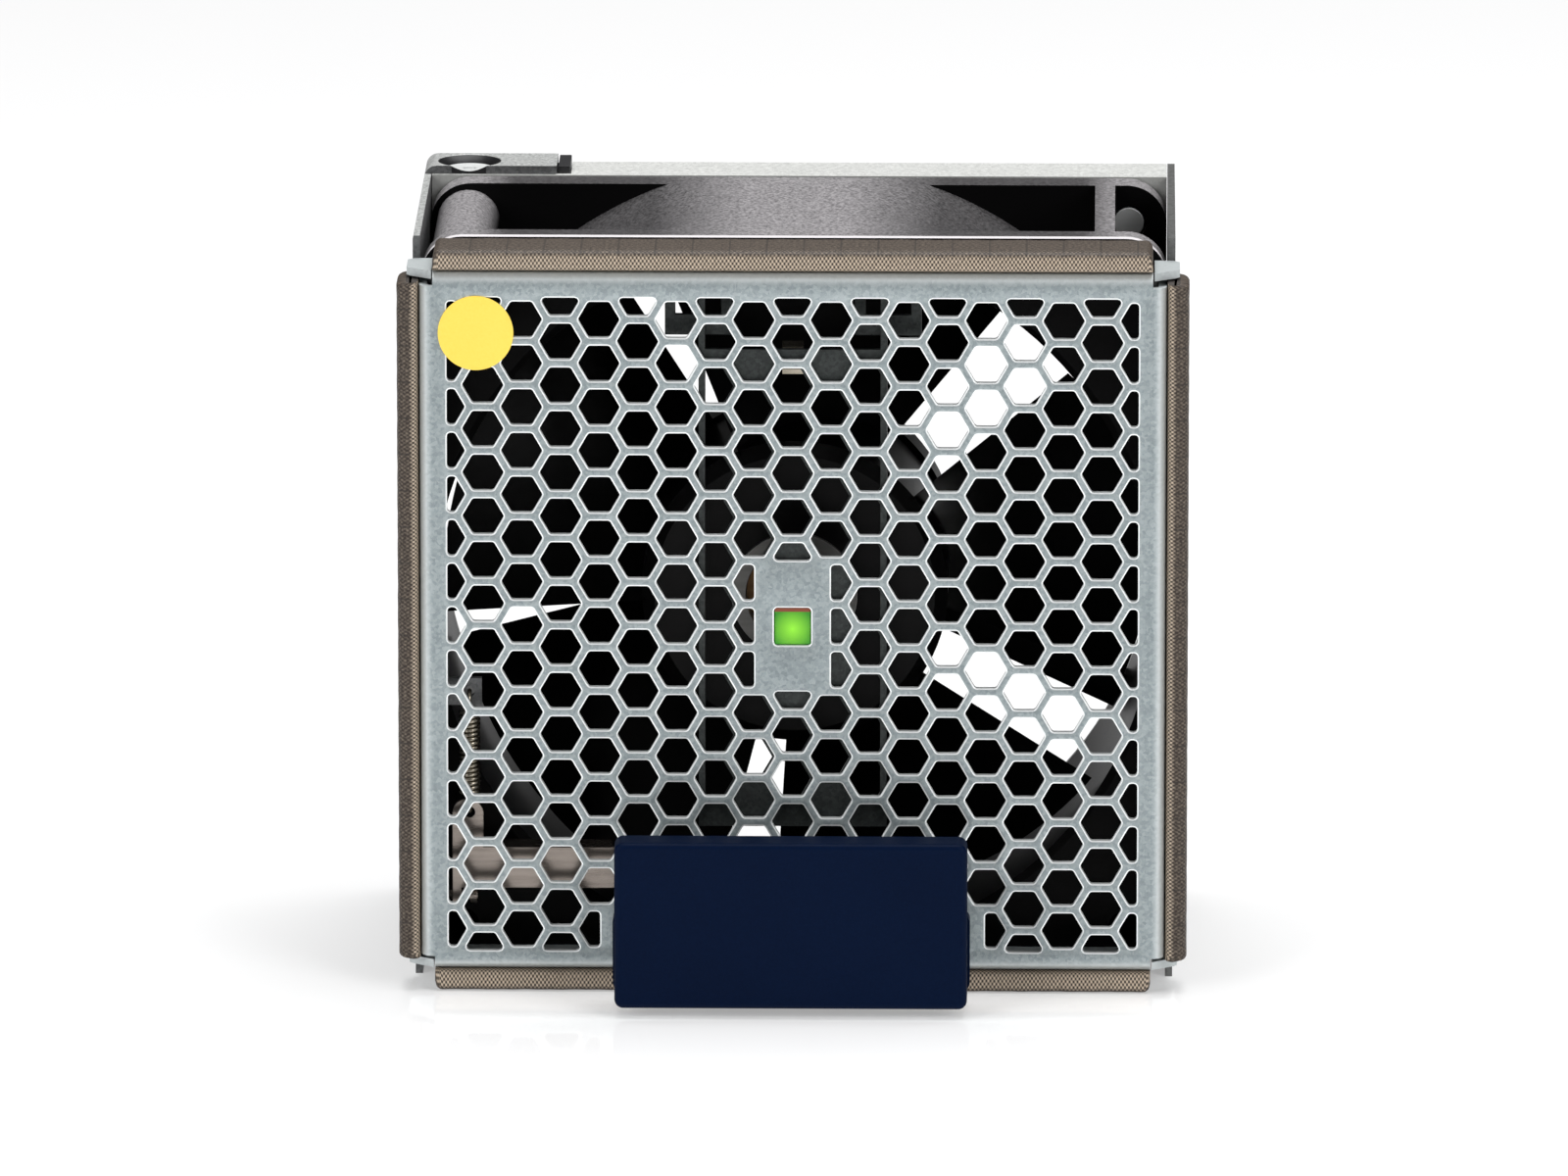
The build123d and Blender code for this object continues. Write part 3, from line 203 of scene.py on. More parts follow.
class PatternGroups:
    """The shader groups that the finishes share, each built once."""

    made: dict[Pattern, bpy.types.NodeTree] = {}

    @classmethod
    def get(cls, pattern: Pattern) -> bpy.types.NodeTree:
        """The group of a pattern: inputs Vector and Scale, outputs Mask and Height, and Line for the weave.

        Args:
            pattern: The pattern that is wanted.

        Returns:
            The shader node group.
        """
        if pattern not in cls.made:
            tree = bpy.data.node_groups.new(pattern.value, "ShaderNodeTree")
            face = tree.interface
            face.new_socket(name="Vector", in_out="INPUT", socket_type="NodeSocketVector")
            face.new_socket(name="Scale", in_out="INPUT", socket_type="NodeSocketFloat")
            graph = Graph(tree)
            graph.place, scale = graph.add("NodeGroupInput").outputs[:2]
            if pattern is Pattern.WEAVE:
                ends = cls.weave(graph, scale)
            else:
                ends = cls.grained(graph, scale, GRAINS[pattern])
            for name in ends:
                face.new_socket(name=name, in_out="OUTPUT", socket_type="NodeSocketFloat")
            graph.add("NodeGroupOutput", **ends)
            cls.made[pattern] = tree
        return cls.made[pattern]

    @staticmethod
    def grained(graph: Graph, scale: object, grain: Grain) -> Looks:
        """Zinc spangle, the long lines of drawn sheet or the grain of moulded plastic.

        Args:
            graph: The group's graph.
            scale: How fine the pattern is.
            grain: What it is mixed from.

        Returns:
            The mask and the height by output name.
        """
        longer = graph.vector("MULTIPLY", graph.place, (grain.stretch, 1.0, 1.0))
        fine = graph.noise(longer, graph.product(scale, grain.fine_scale), grain.detail, grain.rough)
        broad = graph.noise(graph.place, graph.product(scale, grain.broad_scale))
        shares = graph.product(fine, grain.fine_share), graph.product(broad, grain.broad_share)
        mask = graph.math("ADD", *shares)
        if grain.cell_share:
            cells = graph.add("ShaderNodeTexVoronoi", Vector=graph.place, Scale=scale)
            cell = graph.add("ShaderNodeSeparateColor", i0=cells.outputs["Color"])
            mask = graph.math("ADD", mask, graph.product(cell, grain.cell_share))
        return {"Mask": mask, "Height": fine}

    @staticmethod
    def weave(graph: Graph, scale: object) -> Looks:
        """Rows of offset threads on the free front edge, and behind it the same cloth, darker and flatter as
        painted shade, with fine fold lines.

        Args:
            graph: The group's graph, whose coordinates run along the strip and round its outline.
            scale: The threads' wave number along the strip.

        Returns:
            The mask, the fold lines and the height by output name.
        """
        fold_pitch, fold_half, fold_end = 4.56 * MM, 0.11 * MM, 9.9 * MM
        edge_start, edge_end, row_ratio = 9.7 * MM, 10.2 * MM, 0.66
        along, across, _ = graph.axes(graph.place)
        thread = graph.math("SINE", graph.product(along, scale))
        row = graph.math("SINE", graph.product(across, graph.product(scale, row_ratio)))
        bump = graph.product(thread, row)
        # Painted shade: behind the front edge the cloth is darker and its threads show less.
        front = graph.ramp(across, edge_start, edge_end)
        strength = graph.ramp(front, 0.0, 1.0, 0.06, 0.38)
        level = graph.ramp(front, 0.0, 1.0, 0.28, 0.47)
        soft = graph.noise(graph.place, 2600.0)
        base = graph.math("ADD", level, graph.product(graph.math("SUBTRACT", soft, 0.5), 0.3))
        mask = graph.math("ADD", graph.product(bump, strength), base)
        line = graph.math("LESS_THAN", graph.math("PINGPONG", along, fold_pitch / 2), fold_half)
        tick = graph.product(line, graph.math("LESS_THAN", across, fold_end))
        return {"Mask": mask, "Line": tick, "Height": graph.math("SUBTRACT", bump, tick)}


@dataclass(frozen=True)
class Finish:
    """One finish: its colours, gloss and the pattern that is seen from close up.

    Roughness swings about its value with the pattern, and relief is the pattern's depth in millimetres.
    Dust and painted sheen lie on high faces that look up; on the fan, painted shade dims them at the barrel's
    sides and a painted highlight lies on them in front of painted_highlight_to. A disc of painted shade marks
    the countersunk place, as its middle and radius. A bend colour is a painted highlight where sheet turns
    away from the front, and a band shows above band_from. These places are in millimetres of the row frame.
    """

    name: str
    colour: Rgb
    shade: Rgb
    pattern: Pattern
    scale: float
    roughness: float = 0.5
    swing: float = 0.12
    metallic: float = 0.0
    relief: float = 0.02
    strength: float = 0.25
    glow: float = 0.0
    specular: float = 0.5
    dust_and_sheen: Rgb | None = None
    sink_shade: tuple[float, float, float] | None = None
    painted_highlight_to: float = 0.0
    bend_highlight: Rgb | None = None
    band_from: float = 0.0
    on_piece: bool = False

    def add_dust_and_sheen(self, graph: Graph, colour: object) -> Socket:
        """Paints a fine pale grain, dusty and with painted sheen, on the faces that look up near the tray's
        top.

        Args:
            graph: The material's graph.
            colour: The clean colour.

        Returns:
            The colour's socket with the dusty grain and painted sheen on it.
        """
        spot = graph.axes(graph.place)
        upward = graph.ramp(graph.facing()[2], 0.1, 0.7)
        lifted = graph.ramp(spot[2], 68 * MM, 82 * MM)
        speckle = graph.ramp(graph.noise(graph.place, 2400.0, 3.0, 0.7), 0.33, 0.66, 0.25)
        # Dusty grain and painted sheen: faces that look up near the top are made lighter, as if lit from
        # above.
        dust_and_sheen_share = graph.product(upward, lifted, speckle)
        if self.painted_highlight_to:
            # On the fan, painted shade dims the sheen at the barrel's sides between its middle and its posts,
            # and a painted highlight lightens the faces that look up in front of painted_highlight_to.
            side = graph.math("ABSOLUTE", spot[0])
            middle = graph.ramp(side, 6 * MM, 18 * MM, 1.0, 0.26)
            posts = graph.ramp(side, 34 * MM, 40 * MM)
            dust_and_sheen_share = graph.product(dust_and_sheen_share, graph.math("MAXIMUM", middle, posts))
            edge = graph.math("LESS_THAN", spot[1], self.painted_highlight_to * MM)
            dust_and_sheen_share = graph.math("MAXIMUM", dust_and_sheen_share, graph.product(edge, lifted, upward, 1.9))
        return graph.blend(dust_and_sheen_share, colour, srgb(*self.dust_and_sheen), held=False)

    def shade_sink(self, graph: Graph, colour: object) -> Socket:
        """Paints shade into the countersunk place as a dark disc.

        Args:
            graph: The material's graph.
            colour: The colour round it.

        Returns:
            The colour's socket with the disc of painted shade.
        """
        x, y, radius = self.sink_shade
        flat = graph.vector("MULTIPLY", graph.place, (1.0, 1.0, 0.0))
        near = graph.vector("DISTANCE", flat, (x * MM, y * MM, 0.0))
        inside = graph.math("LESS_THAN", near.outputs["Value"], radius * MM)
        return graph.blend(inside, colour, srgb(26, 26, 28))

    def banded(self, graph: Graph, colour: object) -> Socket:
        """Lights the window's middle and lets the holder's band show at its top.

        Args:
            graph: The material's graph.
            colour: The window's edge colour.

        Returns:
            The colour's socket.
        """
        middle_height, reach = 46.1 * MM, 2.7 * MM
        x, _, z = graph.axes(graph.place)
        level = graph.add("ShaderNodeCombineXYZ", X=x, Y=z)
        away = graph.vector("DISTANCE", level, (0.0, middle_height, 0.0))
        lit = graph.blend(graph.ramp(away.outputs["Value"], 0.0, reach), srgb(138, 222, 48), colour)
        return graph.blend(graph.math("GREATER_THAN", z, self.band_from * MM), lit, srgb(120, 58, 34))

    def coloured(self, graph: Graph, look: Node) -> Socket:
        """The finish's whole colour.

        Args:
            graph: The material's graph.
            look: The pattern group's node.

        Returns:
            The colour's socket.
        """
        mask = graph.ramp(look.outputs["Mask"], 0.25, 0.8)
        colour = graph.blend(mask, srgb(*self.shade), srgb(*self.colour))
        if self.pattern is Pattern.WEAVE:
            colour = graph.blend(graph.product(look.outputs["Line"], 0.7), colour, srgb(40, 33, 28))
        # Dusty grain and painted sheen on the faces that look up.
        if self.dust_and_sheen is not None:
            colour = self.add_dust_and_sheen(graph, colour)
        # Painted highlight: faces that turn away from the front, at the bends and flanges, are made lighter.
        if self.bend_highlight is not None:
            turned = graph.ramp(graph.math("ABSOLUTE", graph.facing()[1]), 0.998, 0.86)
            colour = graph.blend(graph.product(turned, 0.6), colour, srgb(*self.bend_highlight))
        # A dark disc of painted shade in the countersunk place.
        if self.sink_shade is not None:
            colour = self.shade_sink(graph, colour)
        if self.band_from:
            colour = self.banded(graph, colour)
        return colour

    def build(self) -> bpy.types.Material:
        """Makes the material, or returns the one already made.

        Returns:
            The material with its node tree.
        """
        label = "look_" + self.name
        if label in bpy.data.materials:
            return bpy.data.materials[label]
        material = bpy.data.materials.new(label)
        material.use_nodes = True
        material.node_tree.nodes.clear()
        graph = Graph(material.node_tree)
        graph.place = graph.add("ShaderNodeTexCoord").outputs["UV" if self.on_piece else "Object"]
        group = PatternGroups.get(self.pattern)
        look = graph.add("ShaderNodeGroup", node_tree=group, Vector=graph.place, Scale=self.scale)
        colour = self.coloured(graph, look)
        half = self.swing / 2
        gloss = graph.ramp(look.outputs["Mask"], 0.0, 1.0, self.roughness + half, self.roughness - half)
        bump = graph.add(
            "ShaderNodeBump", Strength=self.strength, Distance=self.relief * MM, Height=look.outputs["Height"]
        )
        shader = graph.add(
            "ShaderNodeBsdfPrincipled", Base_Color=colour, Normal=bump, Roughness=gloss,
            Metallic=self.metallic, Specular_IOR_Level=self.specular,
        )
        if self.glow:
            graph.feed(shader.inputs["Emission Color"], colour)
            graph.feed(shader.inputs["Emission Strength"], self.glow)
        graph.add("ShaderNodeOutputMaterial", Surface=shader)
        return material


# Its bend colour is a painted highlight on the bends and flanges.
ZINC = Finish(
    "zinc_sheet", (170, 179, 181), (130, 141, 144), Pattern.SPANGLE, 2600.0, 0.46, 0.12, 0.5, 0.01,
    bend_highlight=(226, 231, 231),
)
# Painted shade: a dark copy of the zinc sheet for the strap that lies behind the panel.
SHADED_STRAP = Finish("shaded_strap_sheet", (62, 66, 65), (40, 43, 43), Pattern.SPANGLE, 2600.0, 0.4, 0.14, 0.6, 0.01, 0.3)
# Painted highlight: a pale copy of the zinc sheet for the holes' walls and rims.
CUT_HIGHLIGHT = Finish("cut_zinc_highlight", (250, 252, 252), (232, 236, 236), Pattern.BRUSHED, 2500.0, 0.36, 0.1, 0.4, 0.01, 0.2)
# Its pale top colour is dusty grain with painted sheen on the faces that look up.
PLATE = Finish(
    "side_sheet", (190, 191, 188), (176, 177, 174), Pattern.SPANGLE, 2400.0, 0.44, 0.12, 0.4, 0.01, 0.3,
    dust_and_sheen=(238, 239, 236),
)
# Painted shade: a darker copy of the zinc sheet for the right side plate.
SHADED_SIDE = Finish(
    "shaded_edge_sheet", (118, 119, 118), (84, 84, 83), Pattern.SPANGLE, 2400.0, 0.44, 0.12, 0.4, 0.01, 0.3
)
# Painted shade: a darker copy of the zinc sheet for the left side plate, with dusty grain and painted sheen
# on its top and a disc of painted shade at the countersunk screw.
SHADED_BRACKET = Finish(
    "shaded_bracket_sheet", (110, 111, 112), (76, 77, 78), Pattern.SPANGLE, 2600.0, 0.42, 0.14, 0.3, 0.01, 0.4,
    dust_and_sheen=(214, 216, 214), sink_shade=(-41.4, 30.4, 3.95),
)
NICKEL = Finish(
    "nickel_sheet", (176, 166, 158), (128, 119, 112), Pattern.BRUSHED, 1600.0, 0.26, 0.14, 0.95, 0.01
)
SPRING = Finish(
    "spring_wire", (196, 188, 172), (120, 112, 98), Pattern.BRUSHED, 3000.0, 0.26, 0.1, 0.95, 0.01, 0.2
)
SCREW = Finish(
    "plated_screw", (232, 233, 232), (206, 208, 208), Pattern.BRUSHED, 2500.0, 0.45, 0.1, 0.35, 0.01, 0.3
)
# Its weave is darker and flatter behind the front edge, as painted shade.
CLOTH = Finish(
    "woven_gasket", (208, 190, 168), (44, 34, 27), Pattern.WEAVE, 12820.0, 0.55, 0.2, 0.1, 0.04, 0.4,
    on_piece=True,
)
FOAM = Finish("gasket_foam", (70, 64, 60), (40, 36, 34), Pattern.MOULDED, 3000.0, 0.9, 0.1, 0.0, 0.08, 0.9)
STICKER = Finish(
    "orange_sticker", (255, 222, 96), (255, 214, 80), Pattern.MOULDED, 2500.0, 0.55, 0.1, 0.0, 0.005, 0.1
)
# Its pale top colour is dusty grain with painted sheen on the faces that look up, with painted shade at the
# barrel's sides and a painted highlight in front of painted_highlight_to.
FAN = Finish(
    "fan_plastic", (11, 10, 11), (5, 5, 5), Pattern.MOULDED, 4200.0, 0.4, 0.12, 0.0, 0.03, 0.45,
    specular=0.08, dust_and_sheen=(166, 163, 165), painted_highlight_to=-10.4,
)
BLADE = Finish(
    "blade_plastic", (12, 11, 12), (5, 5, 5), Pattern.MOULDED, 3400.0, 0.3, 0.1, strength=0.3, specular=0.14
)
HANDLE = Finish(
    "navy_plastic", (3, 20, 48), (2, 14, 38), Pattern.MOULDED, 3600.0, 0.46, 0.12, 0.0, 0.02, 0.35,
    specular=0.05,
)
CONNECTOR = Finish("black_plug", (36, 36, 38), (22, 22, 24), Pattern.MOULDED, 3600.0, 0.45, 0.1, strength=0.3)
LAMP = Finish(
    "green_window", (44, 140, 10), (34, 124, 6), Pattern.MOULDED, 900.0, 0.25, 0.06, 0.0, 0.01, 0.1, glow=0.2,
    band_from=48.25,
)
LAMP_CASE = Finish("lamp_case", (128, 62, 44), (96, 44, 30), Pattern.MOULDED, 2500.0, 0.5, 0.1, strength=0.2)
BOARD = Finish("board_green", (34, 92, 58), (24, 70, 44), Pattern.MOULDED, 1500.0, 0.4, 0.1, 0.0, 0.01, 0.2)
STEEL = Finish("motor_steel", (150, 149, 146), (112, 111, 109), Pattern.BRUSHED, 1500.0, 0.4, metallic=0.9)
BRASS = Finish("dull_brass", (150, 118, 84), (112, 84, 58), Pattern.BRUSHED, 1800.0, 0.42, metallic=0.85)
COPPER = Finish("winding_copper", (188, 104, 62), (140, 70, 40), Pattern.BRUSHED, 4000.0, 0.35, 0.1, 0.8)
MAGNET = Finish("bonded_magnet", (66, 64, 62), (44, 43, 42), Pattern.MOULDED, 2500.0, 0.6)
GOLD = Finish("gold_pin", (226, 186, 92), (188, 148, 62), Pattern.BRUSHED, 3000.0, 0.26, 0.08, 0.95)

NODE_FINISHES: tuple[tuple[Finish, float, str], ...] = (
    (SHADED_STRAP, 0.1, "centre_strap strap_hooks"), (SHADED_BRACKET, 0.1, "left_side_plate"),
    (SHADED_SIDE, 0.1, "right_side_plate"), (PLATE, 0.1, "rear_frame"), (PLATE, 0.12, "lap_rivets frame_rivets"),
    (NICKEL, 0.12, "latch_lever"), (NICKEL, 0.08, "pivot_stud"), (NICKEL, 0.1, "guide_pin"),
    (SPRING, 0.0, "ground_finger retaining_ring shaft_clip"), (SCREW, 0.06, "bracket_screw"),
    (SCREW, 0.08, "clinch_nut"), (SCREW, 0.15, "fan_screws"), (SCREW, 0.12, "handle_screws"),
    (STICKER, 0.0, "dot_sticker"), (LAMP, 0.1, "light_pipe"), (LAMP, 0.0, "status_lamp"),
    (LAMP_CASE, 0.1, "lamp_holder"), (BOARD, 0.0, "lamp_board motor_board"), (FAN, 0.15, "fan_frame"),
    (BLADE, 0.12, "impeller"), (STEEL, 0.0, "rotor_yoke stator_core front_bearing rear_bearing"),
    (STEEL, 0.1, "rotor_shaft"), (STEEL, 0.12, "hub_ring"), (BRASS, 0.1, "hub_boss"),
    (BRASS, 0.0, "bearing_tube"), (MAGNET, 0.0, "rotor_magnet"), (COPPER, 0.3, "stator_coils"),
    (HANDLE, 0.0, "handle_pad handle_cover"), (CONNECTOR, 0.12, "connector_housing"),
    (GOLD, 0.08, "connector_pins"),
)


def place(x: float, depth: float, z: float) -> Vector:
    """A point in the row frame from millimetres across, behind the panel's face and up."""
    return Vector((x * MM, (FACE_Y + depth) * MM, z * MM))


def new_object(name: str, data: bpy.types.ID) -> Piece:
    """Links a new object that holds a mesh, curve, light or camera.

    Args:
        name: The object's name.
        data: What it holds.

    Returns:
        The object, at the origin.
    """
    piece = bpy.data.objects.new(name, data)
    bpy.context.scene.collection.objects.link(piece)
    return piece


def sides(loop: list) -> list[tuple]:
    """Each item of a closed loop with the one after it."""
    return list(zip(loop, loop[1:] + loop[:1]))


def smooth_by_angle(mesh: bpy.types.Mesh, degrees: float) -> None:
    """Shades the mesh smooth and marks its sharp edges.

    Args:
        mesh: The mesh to shade.
        degrees: The angle from which an edge stays sharp.
    """
    mesh.shade_smooth()
    work = bmesh.new()
    work.from_mesh(mesh)
    for edge in work.edges:
        edge.smooth = len(edge.link_faces) == 2 and edge.calc_face_angle(0.0) < math.radians(degrees)
    work.to_mesh(mesh)
    work.free()


class Tree:
    """A Geometry Nodes tree with named inputs, and the modifier that runs it."""

    kinds: dict[type, str] = {float: "Float", int: "Int", Piece: "Object", bpy.types.Material: "Material"}

    def __init__(self, name: str, inputs: dict[str, object]) -> None:
        """Makes the tree and its sockets.

        Args:
            name: The tree's name.
            inputs: The value by input name.
        """
        self.tree = bpy.data.node_groups.new(name, "GeometryNodeTree")
        self.values = inputs
        face = self.tree.interface
        face.new_socket(name="Geometry", in_out="INPUT", socket_type="NodeSocketGeometry")
        self.identifiers = {}
        for label, value in inputs.items():
            kind = "NodeSocket" + self.kinds[type(value)]
            self.identifiers[label] = face.new_socket(name=label, in_out="INPUT", socket_type=kind).identifier
        face.new_socket(name="Geometry", in_out="OUTPUT", socket_type="NodeSocketGeometry")
        self.graph = Graph(self.tree)
        self.source = self.graph.add("NodeGroupInput")

    def value(self, label: str) -> Socket:
        """The input's socket inside the tree."""
        return self.source.outputs[label]

    def close(self, geometry: object, material: Socket | None = None) -> None:
        """Ends the tree with Realize Instances, and Set Material where one material covers it all.

        Args:
            geometry: The socket or node with the finished geometry.
            material: The material's socket, unless the faces have theirs already.
        """
        end = self.graph.add("GeometryNodeRealizeInstances", Geometry=geometry)
        if material is not None:
            end = self.graph.add("GeometryNodeSetMaterial", Geometry=end, Material=material)
        self.graph.add("NodeGroupOutput", i0=end)

    def run(self, base: Piece) -> bpy.types.Mesh:
        """Runs the tree on a base object and removes the base.

        Args:
            base: The object whose data the tree starts from.

        Returns:
            The resulting plain mesh.
        """
        modifier = base.modifiers.new(self.tree.name, "NODES")
        modifier.node_group = self.tree
        for label, identifier in self.identifiers.items():
            modifier[identifier] = self.values[label]
        evaluated = base.evaluated_get(bpy.context.evaluated_depsgraph_get())
        mesh = bpy.data.meshes.new_from_object(evaluated)
        bpy.data.objects.remove(base)
        return mesh


def poly_curve(name: str, loops: list[list[Vector]], closed: bool = True) -> Piece:
    """A curve object of straight-sided splines.

    Args:
        name: The object's name.
        loops: The points of each spline.
        closed: Whether each spline joins its own start.

    Returns:
        The linked curve object.
    """
    data = bpy.data.curves.new(name, "CURVE")
    data.dimensions = "3D"
    data.twist_mode = "Z_UP"
    for loop in loops:
        spline = data.splines.new("POLY")
        spline.points.add(len(loop) - 1)
        for point, target in zip(loop, spline.points):
            target.co = (point[0], point[1], point[2], 1.0)
        spline.use_cyclic_u = closed
    return new_object(name, data)


@dataclass
class PerforatedPanel:
    """The folded front panel: plate with hexagonal holes, bends, flanges and ears.

    All sizes are in millimetres. A stud's blank is its middle and radius, a window its corners, and the
    slots take the latch's tooth in the bottom flange. The ear's outline runs out from the panel's side and
    behind its face.
    """

    half_width: float = 45.95
    bottom: float = 2.8
    top: float = 90.8
    sheet: float = 1.0
    bend: float = 1.7
    flange: float = 9.2
    side_flange: float = 8.0
    pitch: float = 5.5
    apothem: float = 2.25
    field_half: float = 42.55
    field_bottom: float = 5.25
    rows: int = 15
    side_columns: int = 9
    plate_half: float = 4.73
    plate_bottom: float = 38.25
    plate_top: float = 54.75
    blank_half: float = 23.8
    blank_top: float = 10.9
    stud: tuple[float, float, float] = (-17.0, 15.0, 4.6)
    window: tuple[float, float, float, float] = (-2.3, 44.05, 2.3, 48.85)
    stem_window: tuple[float, float, float, float] = (-11.6, 4.78, 11.6, 9.1)
    corner: float = 0.46
    corner_points: int = 3
    bend_steps: int = 6
    rim: float = 0.17
    rim_drop: float = 0.07
    slot_x: tuple[float, float] = (12.7, 19.3)
    slot_y: tuple[float, float] = (3.2, 4.9)
    ear: tuple[Point, ...] = ((-1.5, 1.2), (1.2, 3.3), (1.6, 3.9), (1.6, 8.3), (0.7, 9.2), (-1.5, 9.2))
    least_area: float = 1.2
    least_side: float = 0.02

    @property
    def flat(self) -> tuple[float, float, float]:
        """Half the width, the bottom and the top of the plate between its bends."""
        return self.half_width - self.bend, self.bottom + self.bend, self.top - self.bend

    def clip(self, loop: list[Point], axis: int, limit: float, sign: int) -> list[Point]:
        """Cuts a convex outline at a straight line.

        Args:
            loop: The outline's points.
            axis: 0 to cut across, 1 to cut in height.
            limit: Where the line is.
            sign: 1 keeps what is above the limit, -1 what is below.

        Returns:
            The outline that is left, which may be empty.
        """
        kept: list[Point] = []
        for start, end in sides(loop):
            inside, leads = (sign * (point[axis] - limit) >= 0 for point in (start, end))
            if inside:
                kept.append(start)
            if inside != leads:
                share = (limit - start[axis]) / (end[axis] - start[axis])
                kept.append(tuple(a + share * (b - a) for a, b in zip(start, end)))
        return kept

    def hexagon(self, x: float, z: float) -> list[Point]:
        """One hexagon about a middle, flat at its top and bottom."""
        reach, turns = self.apothem / math.cos(math.pi / 6), [math.radians(60 * k) for k in range(6)]
        return [(x + reach * math.cos(turn), z + reach * math.sin(turn)) for turn in turns]

    def cuts(self, x: float, z: float) -> list[tuple[int, float, int]]:
        """The lines that cut a hexagon at the field's edges, the plain plate and the handle's blank.

        Args:
            x: The hexagon's middle, across.
            z: The hexagon's middle, in height.

        Returns:
            Each line's axis, place and kept side.
        """
        lines = [
            (0, -self.field_half, 1), (0, self.field_half, -1),
            (1, self.field_bottom, 1), (1, self.field_bottom + self.rows * self.pitch, -1),
        ]
        off, side = abs(x), 1 if x > 0 else -1
        if off < self.plate_half + self.apothem and self.plate_bottom < z + self.apothem:
            if off < self.apothem:
                if z <= self.plate_bottom + self.apothem:
                    lines.append((1, self.plate_bottom, -1))
                elif z < self.plate_top + self.apothem:
                    lines.append((1, self.plate_top, 1))
            elif z - self.apothem < self.plate_top:
                lines.append((0, side * self.plate_half, side))
        if z - self.apothem < self.blank_top and off < self.blank_half + self.apothem:
            if off <= self.blank_half - self.apothem / 2:
                lines.append((1, self.blank_top, 1))
            elif z + self.apothem < self.blank_top:
                lines.append((0, side * self.blank_half, side))
        return lines

    def holes(self) -> list[list[Point]]:
        """Every hole of the plate: the cut hexagons, the light's window and the latch stem's window.

        Returns:
            The outlines.
        """
        found = []
        for column in range(-self.side_columns, self.side_columns + 1):
            odd = column % 2
            for row in range(self.rows + 1 - odd):
                x = column * (self.pitch * math.sqrt(3) / 2)
                z = self.field_bottom + (row + odd / 2) * self.pitch
                if math.dist((x, z), (self.stud[0], self.stud[1])) < self.stud[2]:
                    continue
                loop = self.hexagon(x, z)
                for axis, limit, sign in self.cuts(x, z):
                    loop = self.clip(loop, axis, limit, sign)
                if len(loop) > 2 and self.area(loop) > self.least_area:
                    found.append(self.tidy(loop))
        for left, low, right, high in (self.window, self.stem_window):
            found.append([(left, low), (right, low), (right, high), (left, high)])
        return found

    @staticmethod
    def area(loop: list[Point]) -> float:
        """The area inside an outline."""
        return abs(sum(a[0] * b[1] - b[0] * a[1] for a, b in sides(loop))) / 2

    def tidy(self, loop: list[Point]) -> list[Point]:
        """The outline without points that lie on top of each other."""
        return [a for a, b in sides(loop) if math.dist(a, b) > self.least_side]

    def plate_tree(self, border: Piece) -> Tree:
        """The tree that rounds the holes, fills the plate round them and gives each its wall.

        Args:
            border: The curve object of the plate's outer edge.

        Returns:
            The tree, ready to run on the curves of the holes.
        """
        tree = Tree("perforated_plate", {
            "Border": border,
            "Corner Radius": self.corner * MM,
            "Corner Points": self.corner_points,
            "Rim": self.rim * MM,
            "Rim Drop": self.rim_drop * MM,
            "Sheet": self.sheet * MM,
            "Face": ZINC.build(),
            "Cut": CUT_HIGHLIGHT.build(),
        })
        graph = tree.graph
        rounded = graph.add(
            "GeometryNodeFilletCurve", mode="POLY", Curve=tree.value("Geometry"), Limit_Radius=True,
            Count=tree.value("Corner Points"), Radius=tree.value("Corner Radius"),
        )
        away = graph.add("GeometryNodeInputNormal")
        outward = graph.add("ShaderNodeVectorMath", operation="SCALE", i0=away, Scale=tree.value("Rim"))
        wide = graph.add("GeometryNodeSetPosition", Geometry=rounded, Offset=outward)
        edge = graph.add("GeometryNodeObjectInfo", Object=tree.value("Border"))
        outlines = graph.join(edge.outputs["Geometry"], wide.outputs[0])
        front = graph.add("GeometryNodeFillCurve", mode="TRIANGLES", Curve=outlines)
        down = graph.add("ShaderNodeCombineXYZ", Z=graph.product(tree.value("Sheet"), -1.0))
        turned = graph.add("GeometryNodeFlipFaces", Mesh=front)
        back = graph.add("GeometryNodeSetPosition", Geometry=turned, Offset=down)
        faces = graph.join(front.outputs[0], back.outputs[0])
        plain = graph.add("GeometryNodeSetMaterial", Geometry=faces, Material=tree.value("Face"))
        walls = self.walls(tree, rounded, outward)
        # The walls and rims take the pale cut finish, a painted highlight.
        cut = graph.add("GeometryNodeSetMaterial", Geometry=walls, Material=tree.value("Cut"))
        whole = graph.join(plain.outputs[0], cut.outputs[0])
        tree.close(graph.add("GeometryNodeMergeByDistance", Geometry=whole, Distance=MERGE))
        return tree

